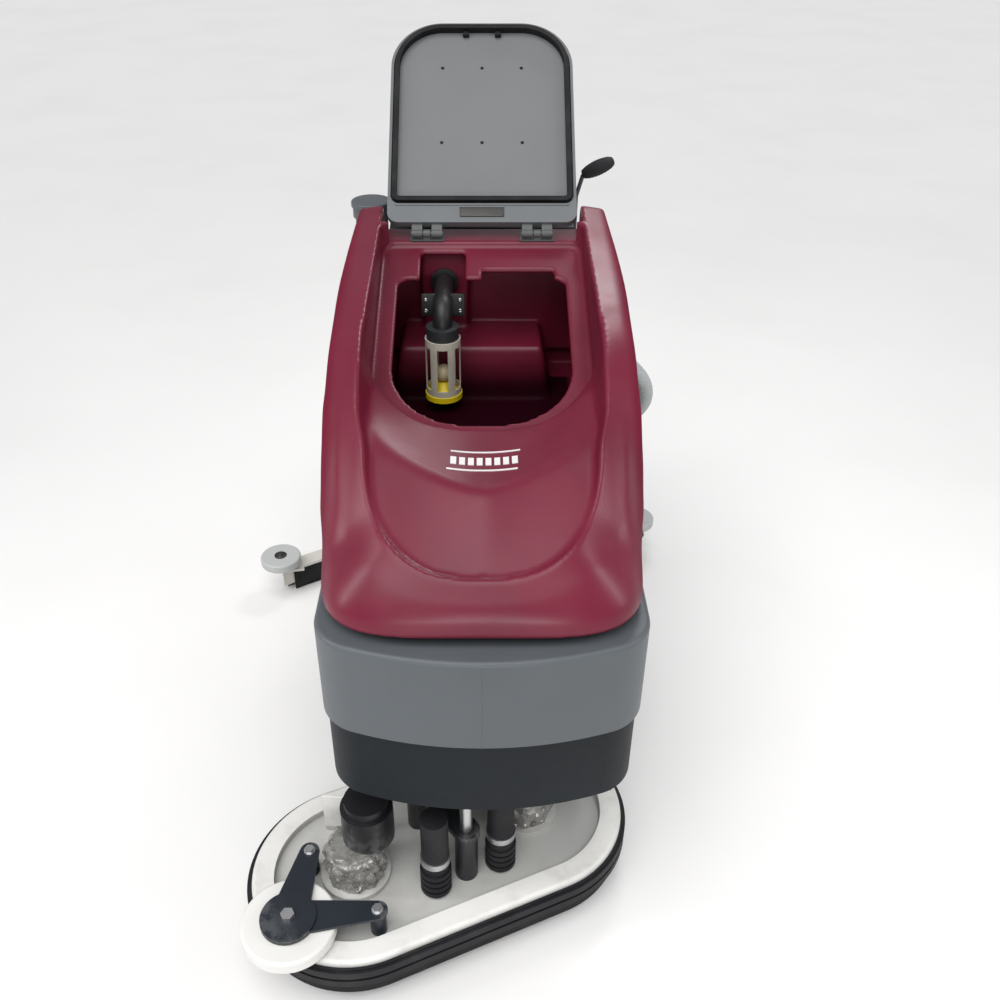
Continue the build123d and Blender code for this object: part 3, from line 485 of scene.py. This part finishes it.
def tank_surface(x, y):
    """Top of the tank: crowned hull, with the shield and plateau sunk between the side rails."""
    side = np.sqrt(x * x + 24 ** 2) - 24
    hull = hull_height(x, y)
    crease_y = -358 + 98 * side / 200
    crease_z = 911 + 50 * (side / 200) ** 1.5
    reach = np.clip(side, 0, 186) / SHIELD_HALF
    rim_y = FOCUS_Y - SHIELD_REACH * (1 - reach ** U_POWER) ** (1 / U_POWER)
    rim_z = hull_height(np.clip(side, 0, 186), rim_y) - 8
    shield = crease_z + (crease_z - rim_z) / (crease_y - rim_y) * (y - crease_y) - 0.03 * side
    back = np.clip((y - crease_y) / (-146 - crease_y), 0, 1)
    plateau = crease_z - 0.02 * (y - crease_y) + 0.0028 * back * np.clip(side - 60, 0, None) ** 2
    inner = soft_min(shield, plateau, 8)
    ring = rounded_ring(x, y, SHIELD_HALF, SHIELD_REACH, U_POWER)
    soften = step(y - crease_y, -30, 40)
    outside = step(ring, 0.94 + 0.05 * soften, 1.14 + 0.12 * soften)
    corner = np.clip((np.abs(x) - (RECESS_HALF - RECESS_CORNER)) / RECESS_CORNER, 0, 1)
    recess_y = RECESS_Y + RECESS_CORNER * (1 - np.sqrt(1 - corner ** 2))
    inner = inner + 120 * outside + 500 * step(y - recess_y, 10, 90)
    inner = inner + 90 * step(y, -220, 10) * step(np.abs(x), 203, 240)
    surface = soft_min(hull, inner, 13)
    near = np.clip(SHOULDER - TANK_REAR + y, 0, SHOULDER)
    return surface - (SHOULDER - np.sqrt(SHOULDER ** 2 - near ** 2))


def tank_grid(inset, columns, rows):
    angle = np.linspace(-math.pi / 2, math.pi / 2, columns)
    across = (TANK_HALF - inset) * (0.55 * np.sin(angle) + 0.45 * angle / (math.pi / 2))
    x, t = np.meshgrid(across, np.linspace(0, 1, rows))
    front = tank_front(x, inset)
    return x, front + (TANK_REAR - inset - front) * t


def swell_sides(obj):
    """Lets the side walls bulge a little above the hinge pins."""
    co = np.array([vertex.co for vertex in obj.data.vertices])
    x, y, z = ((co - np.array(AXLE)) * 1000).T
    out = curve_through(SIDE_SWELL, y) * step(np.abs(x), RECESS_HALF + 2, TANK_HALF) * step(z, 760, 840)
    co[:, 0] += np.sign(x) * out / 1000
    obj.data.vertices.foreach_set("co", co.ravel())
    obj.data.update()


def eroded(field, reach):
    """Lowest value around each grid point, so that a cavity keeps clear of steep walls."""
    low = field.copy()
    for axis in (0, 1):
        source = low.copy()
        for shift in range(-reach, reach + 1):
            low = np.minimum(low, np.roll(source, shift, axis))
    return low


def tank_block():
    """The solid tank before it is hollowed."""
    x, y = tank_grid(0, 130, 210)
    top = np.maximum(tank_surface(x, y), TANK_FLOOR + 8)
    return slab("tank_skin", x, y, top, np.full_like(x, TANK_FLOOR))


def tank_cavity():
    """The space inside, which keeps clear of the recess, the motor hump and the float's duct."""
    x, y = tank_grid(INSET, 90, 150)
    ceiling = eroded(tank_surface(x, y), 4) - SKIN
    in_recess = (np.abs(x) < RECESS_HALF + 10) & (y > RECESS_Y - SKIN)
    ceiling = np.where(in_recess, np.minimum(ceiling, seat_height(y) - SKIN), ceiling)
    hump = step(y, 226, 262) * step(x, -200, -172) * step(-x, -156, -127)
    floor = CAVITY_FLOOR + (HUMP_TOP - TANK_FLOOR - 9) * hump
    in_duct = (x > -134) & (x < -31) & (y > 359)
    ceiling = np.where(in_duct, floor + 1, np.maximum(ceiling, floor + 2))
    return slab("cavity", x, y, ceiling, floor)


def recess_outline():
    corners = (RECESS_REAR_CORNER, RECESS_REAR_CORNER, RECESS_CORNER, RECESS_CORNER)
    return rounded_outline(-RECESS_HALF, RECESS_HALF, RECESS_Y, RECESS_REAR, corners, 14)


def tank_skin():
    skin = tank_block()
    mouth = rounded_outline(-172, 172, -126, 258, (22, 22, 140, 140), 14)
    cut(skin, prism("recess", recess_outline(), seat_height, ABOVE))
    cut(skin, box_solid("rear_deck", -RECESS_HALF, RECESS_HALF, RECESS_REAR - 3, 460, 1076, ABOVE))
    cut(skin, tank_cavity())
    cut(skin, prism("mouth", mouth, lambda y: seat_height(y) - 30, ABOVE))
    cut(skin, box_solid("float_pocket", -128, -36, 250, 338, 1004, 1200))
    cut(skin, box_solid("ledge_notch", 0, 150, 250, 284, 1000, 1200))
    cut(skin, box_solid("motor_bay", -165, 120, 276, 413, 700, 866))
    apply(skin, "REMESH", mode="VOXEL", voxel_size=VOXEL)
    apply(skin, "SMOOTH", factor=0.5, iterations=SMOOTHINGS)
    swell_sides(skin)
    skin.data.shade_smooth()
    return skin


def place_tank():
    skin = tank_skin()
    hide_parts("recovery_tank")
    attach(skin, "recovery")
    return skin


tank = place_tank()


# ---- materials, one per slot of the record ------------------------------------------------
def tank_material():
    """Burgundy skin with hazy gloss and dull outer sides; painted shade darkens the inside, less on the hump.
    """
    shade = moulded("tank_burgundy", (0.150, 0.010, 0.029), 0.30, 0.00004, 0.16, 0.1)
    haze = shade.ramp(shade.noise(6, 5, 0.6), 0.42, 0.8)
    shade.blend(haze, (0.20, 0.028, 0.05), 0.2)
    shade.roughen(haze, 0.14)
    place = at(0, 0, 0)
    px, py, pz = (shade.math("SUBTRACT", axis, offset) for axis, offset in zip(shade.axes(), place))
    wide = shade.ramp(shade.math("ABSOLUTE", px), 0.205, 0.190)
    long = shade.math("MULTIPLY", shade.ramp(py, -0.140, -0.120), shade.ramp(py, 0.345, 0.335))
    seat = shade.math("ADD", shade.math("MULTIPLY", py, SEAT_TILT), 0.946)
    deep = shade.ramp(shade.math("SUBTRACT", seat, pz), 0.016, 0.030)
    hump = shade.math("MULTIPLY", shade.ramp(py, 0.215, 0.245), shade.ramp(pz, 0.780, 0.860))
    hump = shade.math("MULTIPLY", hump, shade.ramp(pz, 0.900, 0.884))
    hump = shade.math("MULTIPLY", hump, shade.ramp(px, -0.196, -0.182))
    hump = shade.math("MULTIPLY", hump, shade.ramp(px, 0.150, 0.136))
    # painted shade: the inside below the lid's seat is darkened nearly to black, the motor hump much less
    inside = shade.math("MULTIPLY", shade.math("MULTIPLY", wide, long), deep)
    shadow = shade.math("MULTIPLY", inside, shade.math("SUBTRACT", 1.0, shade.math("MULTIPLY", hump, 0.9)))
    shade.blend(shadow, (0.008, 0.001, 0.003), 0.95)
    dull = shade.ramp(shade.math("ABSOLUTE", px), 0.246, 0.272)
    shade.roughen(dull, 0.3)
    matt = shade.math("MAXIMUM", shadow, shade.math("MULTIPLY", dull, 0.85))
    level = shade.math("SUBTRACT", 0.30, shade.math("MULTIPLY", matt, 0.28))
    shade.tree.links.new(level, shade.bsdf.inputs["Specular IOR Level"])
    coat = shade.math("SUBTRACT", 0.1, shade.math("MULTIPLY", matt, 0.1))
    shade.tree.links.new(coat, shade.bsdf.inputs["Coat Weight"])
    return shade


def brush_material():
    shade = Shade("brush_fibre", (0.035, 0.05, 0.075), 0.7)
    tufts = shade.noise(420, 2, 0.5, (1, 1, 0.06))
    shade.blend(shade.ramp(tufts, 0.35, 0.6), (0.006, 0.008, 0.012), 0.9)
    return shade.bump(tufts, 0.002)


def cast_material():
    shade = Shade("cast_aluminium", (0.30, 0.31, 0.33), 0.46, 0.75)
    shade.blend(shade.ramp(shade.noise(25, 5), 0.45, 0.75), (0.12, 0.12, 0.13), 0.6)
    shade.roughen(shade.noise(70, 4), 0.2)
    shade.bump(shade.noise(160, 4), 0.0006)
    return shade.bump(shade.noise(30, 2), 0.0015)


def clear_material():
    shade = Shade("clear_plastic", (0.80, 0.76, 0.66), 0.2)
    shade.blend(shade.ramp(shade.noise(30, 4), 0.4, 0.75), (0.60, 0.55, 0.44), 0.5)
    shade.bsdf.inputs["Transmission Weight"].default_value = 0.3
    shade.bsdf.inputs["Coat Weight"].default_value = 0.3
    return shade.bump(shade.noise(60, 2), 0.0003)


def deck_material():
    shade = moulded("deck_white", (0.74, 0.73, 0.70), 0.36, 0.00005, 0.04, 0.1, 0.35)
    # painted shade: the deck's sunk pan, below its rim, is darkened grey
    shade.blend(shade.ramp(shade.axes()[2], 0.126, 0.116), (0.40, 0.40, 0.385), 0.8)
    shade.dust((0.36, 0.34, 0.31), 0.35, 14)
    return shade.wear((0.42, 0.40, 0.37), 0.3, 0.54, 0.64)


def hose_material():
    shade = moulded("hose_grey", (0.40, 0.42, 0.42), 0.45, 0.0001, 0.06)
    return shade.dust((0.24, 0.24, 0.235), 0.35, 25)


def build_materials():
    shades = {
        "frame_steel": painted("frame_steel", (0.014, 0.015, 0.017)),
        "slate_plastic": moulded("slate_plastic", (0.0085, 0.0115, 0.0145), 0.5, 0.00018, shine=0.2),
        "tank_grey": moulded("tank_grey", (0.088, 0.099, 0.108), 0.42, 0.00008, 0.05, 0.05, 0.4),
        "battery_black": moulded("battery_black", (0.012, 0.012, 0.014), 0.45),
        "cast_housing": painted("cast_housing", (0.09, 0.09, 0.095), 0.55),
        "bright_steel": metal("bright_steel", (0.62, 0.62, 0.62), 0.22),
        "motor_black": painted("motor_black", (0.010, 0.010, 0.012), 0.32),
        "console_slate": moulded("console_slate", (0.013, 0.016, 0.019), 0.55, 0.0002),
        "panel_black": moulded("panel_black", (0.012, 0.012, 0.014), 0.4),
        "handle_paint": painted("handle_paint", (0.018, 0.021, 0.027), 0.4),
        "grip_rubber": rubbery("grip_rubber"),
        "tank_burgundy": tank_material(),
        "fitting_black": moulded("fitting_black", (0.012, 0.012, 0.013), 0.42),
        "hinge_grey": moulded("hinge_grey", (0.085, 0.09, 0.09), 0.45),
        "collar_grey": moulded("collar_grey", (0.022, 0.024, 0.028), 0.5),
        "clear_plastic": clear_material(),
        "cap_yellow": moulded("cap_yellow", (0.95, 0.72, 0.01), 0.4),
        "ball_ivory": moulded("ball_ivory", (0.70, 0.60, 0.38), 0.3),
        "lid_frame": moulded("lid_frame", (0.135, 0.145, 0.15), 0.45, 0.00015, 0.08, shine=0.35),
        "lid_grey": moulded("lid_grey", (0.150, 0.156, 0.160), 0.42, 0.0001, 0.05, shine=0.3),
        "seal_black": rubbery("seal_black", (0.006, 0.006, 0.007)),
        "deck_white": deck_material(),
        "bumper_black": rubbery("bumper_black", (0.010, 0.010, 0.012), 0.5),
        "cast_aluminium": cast_material(),
        "zinc_steel": metal("zinc_steel", (0.55, 0.55, 0.56), 0.3, (1, 1, 1)),
        "bracket_slate": painted("bracket_slate", (0.010, 0.014, 0.021), 0.35),
        "roller_white": moulded("roller_white", (0.72, 0.71, 0.68), 0.38, 0.00006, 0.05),
        "brush_fibre": brush_material(),
        "tyre_black": rubbery("tyre_black", (0.012, 0.012, 0.013), 0.68),
        "caster_steel": metal("caster_steel", (0.5, 0.5, 0.51), 0.34, (1, 1, 1)),
        "caster_grey": rubbery("caster_grey", (0.12, 0.122, 0.125), 0.6),
        "squeegee_white": painted("squeegee_white", (0.60, 0.57, 0.52), 0.38, (0.25, 0.24, 0.23)),
        "roller_grey": moulded("roller_grey", (0.42, 0.43, 0.42), 0.42, 0.0001, 0.05),
        "hose_grey": hose_material(),
        "button_green": moulded("button_green", (0.02, 0.20, 0.05), 0.3),
        "button_blue": moulded("button_blue", (0.02, 0.06, 0.30), 0.3),
    }
    return {name: shade.done() for name, shade in shades.items()}


MATERIALS = build_materials()


def dress_nodes():
    for obj in NODES.values():
        for holder in obj.material_slots:
            holder.material = MATERIALS[holder.material.name.split(".")[0]]


def dress(obj, name):
    obj.data.materials.clear()
    obj.data.materials.append(MATERIALS[name])


dress_nodes()
dress(NODES["squeegee_lever"], "handle_paint")
dress(hose, "hose_grey")
dress(tank, "tank_burgundy")


# ---- small pieces -------------------------------------------------------------------------
HINGE_Y, HINGE_Z, LID_ANGLE = 360, 1090, 40


def lid_at(x, along_lid, out):
    """A point of the open lid: across, up from the hinge, and out of its underside."""
    lean = math.radians(LID_ANGLE)
    y = HINGE_Y + along_lid * math.cos(lean) - out * math.sin(lean)
    return x, y, HINGE_Z + along_lid * math.sin(lean) + out * math.cos(lean)


def rounded_plate(name, place, across, up, size, thickness, corner=4, bevel=1.2):
    """Plate with round corners and soft edges, centred on place, facing across x up."""
    across, up = Vector(across).normalized(), Vector(up).normalized()
    out = across.cross(up)
    half_w, half_h = size[0] / 2, size[1] / 2
    outline = rounded_outline(-half_w, half_w, -half_h, half_h, (corner,) * 4, 5)
    centre = Vector(place)
    verts = [centre + across * x + up * y + out * z for z in (0, thickness) for x, y in outline]
    count = len(outline)
    faces = [tuple(range(count))[::-1], tuple(range(count, 2 * count))]
    faces += [(k, (k + 1) % count, (k + 1) % count + count, k + count) for k in range(count)]
    obj = new_object(name, verts, faces)
    fix_normals(obj)
    apply(obj, "BEVEL", width=bevel / 1000, segments=3, limit_method="ANGLE")
    return obj


def lathe(name, base, axis, profile, sides=32):
    """Solid of revolution: profile is (distance along axis, radius) from end to end."""
    axis = Vector(axis).normalized()
    across = axis.orthogonal().normalized()
    up = axis.cross(across)
    verts, faces = [], []
    for far, radius in profile:
        for k in range(sides):
            angle = 2 * math.pi * k / sides
            outwards = across * math.cos(angle) + up * math.sin(angle)
            verts.append(Vector(base) + axis * far + outwards * radius)
    for i in range(len(profile) - 1):
        for k in range(sides):
            n = (k + 1) % sides
            faces.append((i * sides + k, i * sides + n, (i + 1) * sides + n, (i + 1) * sides + k))
    faces += [tuple(range(sides))[::-1], tuple((len(profile) - 1) * sides + k for k in range(sides))]
    obj = new_object(name, verts, faces)
    fix_normals(obj)
    return obj


def finish_piece(obj, body, slot, material=None):
    dress(obj, material or slot)
    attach(obj, body)
    return obj


def screw_head(name, base, axis, radius):
    """Domed head with a round dimple in the middle."""
    profile = [(0, radius), (0.35 * radius, radius), (0.6 * radius, 0.86 * radius),
               (0.75 * radius, 0.55 * radius), (0.5 * radius, 0.3 * radius), (0.5 * radius, 0.02)]
    return lathe(name, base, axis, profile, 20)


def join(name, objs):
    with bpy.context.temp_override(object=objs[0], active_object=objs[0], selected_objects=objs,
                                   selected_editable_objects=objs):
        bpy.ops.object.join()
    objs[0].name = name
    return objs[0]


def lid_pieces():
    up = Vector(lid_at(0, 1, 0)) - Vector(lid_at(0, 0, 0))
    latch = rounded_plate("lid_latch_plate", lid_at(0, 44, 10.2), (1, 0, 0), up, (92, 21), 3.4, 4, 1.0)
    finish_piece(latch, "lid", "lid_frame", "latch_brown")
    out = Vector(lid_at(0, 0, 1)) - Vector(lid_at(0, 0, 0))
    clips = [rounded_plate("clip", lid_at(x, 501, 4), (1, 0, 0), up, (14, 11), 10, 3, 1.5) for x in (-36, 36)]
    finish_piece(join("lid_clips", clips), "lid", "seal_black")
    strip = rounded_plate("strip", lid_at(0, 62.5, 12.6), (1, 0, 0), up, (372, 5), 2.2, 2, 0.9)
    finish_piece(strip, "lid", "lid_frame")
    strip.name = "lid_lip_bead"
    buttons = [screw_head("button", lid_at(x, v, 1.5), out, 4.5) for x in (-88, 0, 88) for v in (222, 415)]
    finish_piece(join("lid_rivets", buttons), "lid", "seal_black")


def float_flange():
    plate = rounded_plate("float_flange", (-82, 262, 972), (1, 0, 0), (0, 0, 1), (92, 50), 7, 5, 1.2)
    finish_piece(plate, "recovery", "fitting_black")
    screws = [screw_head("screw", (-82 + sx, 255, 972 + sz), (0, -1, 0), 4.2)
              for sx in (-36, 36) for sz in (-11, 13)]
    finish_piece(join("float_flange_screws", screws), "recovery", "bright_steel")


BADGE_REAR_Y, BADGE_FRONT_Y, BADGE_LINE = -236, -300, 4


def on_tank(x, y, lift):
    z = float(tank_surface(np.array([[float(x)]]), np.array([[float(y)]]))[0, 0])
    return x, y, z + lift


def badge_bar(x0, x1, y0, y1):
    """Thin raised bar that follows the tank's surface."""
    steps = 24
    verts = []
    for lift in (-1.0, 1.3):
        for y in (y0, y1):
            for k in range(steps + 1):
                verts.append(on_tank(x0 + (x1 - x0) * k / steps, y, lift))
    row = steps + 1
    faces = []
    for k in range(steps):
        faces.append((k, k + row, k + row + 1, k + 1))
        faces.append((2 * row + k, 2 * row + k + 1, 3 * row + k + 1, 3 * row + k))
        faces.append((k, k + 1, 2 * row + k + 1, 2 * row + k))
        faces.append((row + k, 3 * row + k, 3 * row + k + 1, row + k + 1))
    faces += [(0, 2 * row, 3 * row, row), (steps, row + steps, 3 * row + steps, 2 * row + steps)]
    bar = new_object("bar", verts, faces, smooth=False)
    fix_normals(bar)
    return bar


def tank_badge():
    """Plain marking on the tank's front: a row of bars between two lines."""
    bars = [badge_bar(-54, 66, BADGE_REAR_Y - BADGE_LINE, BADGE_REAR_Y),
            badge_bar(-60, 60, BADGE_FRONT_Y, BADGE_FRONT_Y + BADGE_LINE)]
    bars += [badge_bar(start, start + 10, -281, -257) for start in range(-54, 62, 15)]
    finish_piece(join("tank_badge", bars), "recovery", "tank_burgundy", "badge_white")


def tank_parting_line():
    """Moulding seam down the middle of the clean-water tank's front."""
    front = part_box("solution_tank")
    y = (front[0].y - AXLE.y) * 1000
    verts, faces = [], []
    profile = [(-1.6, 0.3), (0, -0.9), (1.6, 0.3), (1.6, 2), (-1.6, 2)]
    rings, sides = 30, len(profile)
    for z in np.linspace(550, 727, rings):
        verts += [(px, y + py, z) for px, py in profile]
    for i in range(rings - 1):
        for k in range(sides):
            a, b = i * sides + k, i * sides + (k + 1) % sides
            faces.append((a, b, b + sides, a + sides))
    faces += [tuple(range(sides)), tuple((rings - 1) * sides + k for k in range(sides))]
    seam = new_object("tank_parting_line", verts, faces, smooth=False)
    fix_normals(seam)
    finish_piece(seam, "chassis", "tank_grey")


def lever_knob():
    """Oval grip on the squeegee lift lever."""
    base = Vector((240, 699, 1117))
    axis = Vector((70, 2, 32))
    length = axis.length + 4
    profile = [(0, 7), (2, 10.5), (6, 12)]
    for k in range(1, 24):
        t = k / 24
        rib = 0.7 * (0.5 - 0.5 * math.cos(2 * math.pi * t * 9))
        profile.append((6 + t * (length - 12), 12.2 + 6.0 * math.sin(math.pi * t) ** 0.7 - rib))
    profile += [(length - 3, 10), (length - 0.5, 5.5), (length, 1.0)]
    knob = lathe("lever_knob", base, axis, profile)
    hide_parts("lever_grip")
    finish_piece(knob, "lever", "grip_rubber")


def wrapped_housings():
    """Gear cases still wrapped in creased, glossy film."""
    source = NODES["gear_housings"]
    cases = bpy.data.objects.new("wrapped_gear_cases", source.data.copy())
    bpy.context.scene.collection.objects.link(cases)
    apply(cases, "REMESH", mode="VOXEL", voxel_size=0.004)
    co = np.array([vertex.co for vertex in cases.data.vertices])
    normal = np.array([vertex.normal for vertex in cases.data.vertices])
    low, high = co[:, 2].min(), co[:, 2].max()
    for k, point in enumerate(co):
        where = Vector(point)
        crease = noise.voronoi(where * 38, distance_metric="DISTANCE")[0]
        fine = noise.fractal(where * 90, 1.0, 2.0, 3)
        inside = min(1.0, (point[2] - low) / 0.006, (high - point[2]) / 0.004)
        push = 0.011 * (crease[1] - crease[0]) - 0.004 + 0.0016 * fine
        co[k] = point + normal[k] * push * max(inside, 0)
    cases.data.vertices.foreach_set("co", co.ravel())
    cases.data.update()
    cases.data.shade_flat()
    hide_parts("gear_housings")
    finish_piece(cases, "deck", "cast_aluminium", "film_wrap")


def side_plate():
    """Flat white plate with rounded corners that stands behind the left brush motor."""
    plate = rounded_plate("deck_side_plate", (-284, -402, 160), (1, -0.12, 0), (0, 0, 1), (70, 104),
                          4, 6, 1.2)
    finish_piece(plate, "deck", "deck_white")


def wheel_knobs():
    """Small thumb nut on top of each squeegee guide wheel."""
    for side, body in (("left", "left_squeegee_roller"), ("right", "right_squeegee_roller")):
        low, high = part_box("squeegee_roller_" + side)
        centre = (low + high) / 2
        x, y = (centre - AXLE).xy * 1000
        top = high.z * 1000
        hub = lathe("squeegee_wheel_cap_" + side, (x, y, top - 1), (0, 0, 1),
                    [(0, 17), (2, 17), (3.2, 15.5), (3.2, 9), (6, 8.4), (8, 7), (8.6, 3), (8.6, 0.5)])
        finish_piece(hub, body, "fitting_black")


def extra_materials():
    badge = moulded("badge_white", (0.80, 0.78, 0.78), 0.3)
    latch = moulded("latch_brown", (0.045, 0.040, 0.038), 0.45)
    film = Shade("film_wrap", (0.26, 0.255, 0.24), 0.22, 0.25)
    film.blend(film.ramp(film.noise(40, 4), 0.4, 0.7), (0.07, 0.068, 0.062), 0.75)
    film.blend(film.ramp(film.noise(90, 3), 0.6, 0.72), (0.7, 0.69, 0.66), 0.6)
    film.bump(film.noise(130, 4), 0.002)
    film.bsdf.inputs["Coat Weight"].default_value = 0.8
    film.bsdf.inputs["Coat Roughness"].default_value = 0.08
    for shade in (badge, latch, film):
        MATERIALS[shade.mat.name] = shade.done()


extra_materials()
lid_pieces()
float_flange()
tank_badge()
tank_parting_line()
lever_knob()
wrapped_housings()
side_plate()
wheel_knobs()


# ---- floor and light ----------------------------------------------------------------------
FLOOR_SIZE, FLOOR_STEPS = 30.0, 24
WORLD_COLOR, WORLD_STRENGTH = (0.95, 0.97, 1.0, 1), 0.36
CEILING_POWER, CEILING_SPREAD, CEILING_TURN = 2.5, 55, (24, -10, 0)


def make_floor():
    spread = [FLOOR_SIZE * (i / FLOOR_STEPS - 0.5) for i in range(FLOOR_STEPS + 1)]
    verts = [(x, y, 0.0) for y in spread for x in spread]
    row = FLOOR_STEPS + 1
    faces = [(j * row + i, j * row + i + 1, (j + 1) * row + i + 1, (j + 1) * row + i)
             for j in range(FLOOR_STEPS) for i in range(FLOOR_STEPS)]
    mesh = bpy.data.meshes.new("floor")
    mesh.from_pydata(verts, [], faces)
    floor = bpy.data.objects.new("floor", mesh)
    bpy.context.scene.collection.objects.link(floor)
    shade = Shade("floor_pale", (0.80, 0.79, 0.78), 0.55)
    shade.blend(shade.ramp(shade.noise(1.3, 3), 0.35, 0.8), (0.74, 0.73, 0.72), 0.5)
    mesh.materials.append(shade.done())


def area_light(name, place, aim, size, watts):
    data = bpy.data.lights.new(name, "AREA")
    data.shape = "RECTANGLE"
    data.size, data.size_y = size
    data.energy = watts
    light = bpy.data.objects.new(name, data)
    light.location = at(*place)
    direction = at(*aim) - light.location
    light.rotation_euler = direction.to_track_quat("-Z", "Y").to_euler()
    bpy.context.scene.collection.objects.link(light)


def make_light():
    world = bpy.data.worlds.new("studio")
    world.use_nodes = True
    background = world.node_tree.nodes["Background"]
    background.inputs["Color"].default_value = WORLD_COLOR
    background.inputs["Strength"].default_value = WORLD_STRENGTH
    bpy.context.scene.world = world
    data = bpy.data.lights.new("ceiling", "SUN")
    data.energy = CEILING_POWER
    data.angle = math.radians(CEILING_SPREAD)
    ceiling = bpy.data.objects.new("ceiling", data)
    ceiling.rotation_euler = [math.radians(angle) for angle in CEILING_TURN]
    bpy.context.scene.collection.objects.link(ceiling)
    area_light("behind", (640, 1650, 2400), (-150, -220, 960), (0.7, 0.5), 13)
    area_light("left", (-1900, -650, 1700), (-150, -400, 880), (0.3, 1.3), 13)
    area_light("right", (1900, -650, 1700), (150, -400, 880), (0.3, 1.3), 11)
    area_light("front", (0, -3300, 950), (0, -540, 780), (1.6, 0.35), 22)


make_floor()
make_light()
bpy.context.scene.view_settings.view_transform = "Standard"


bpy.context.view_layer.update()
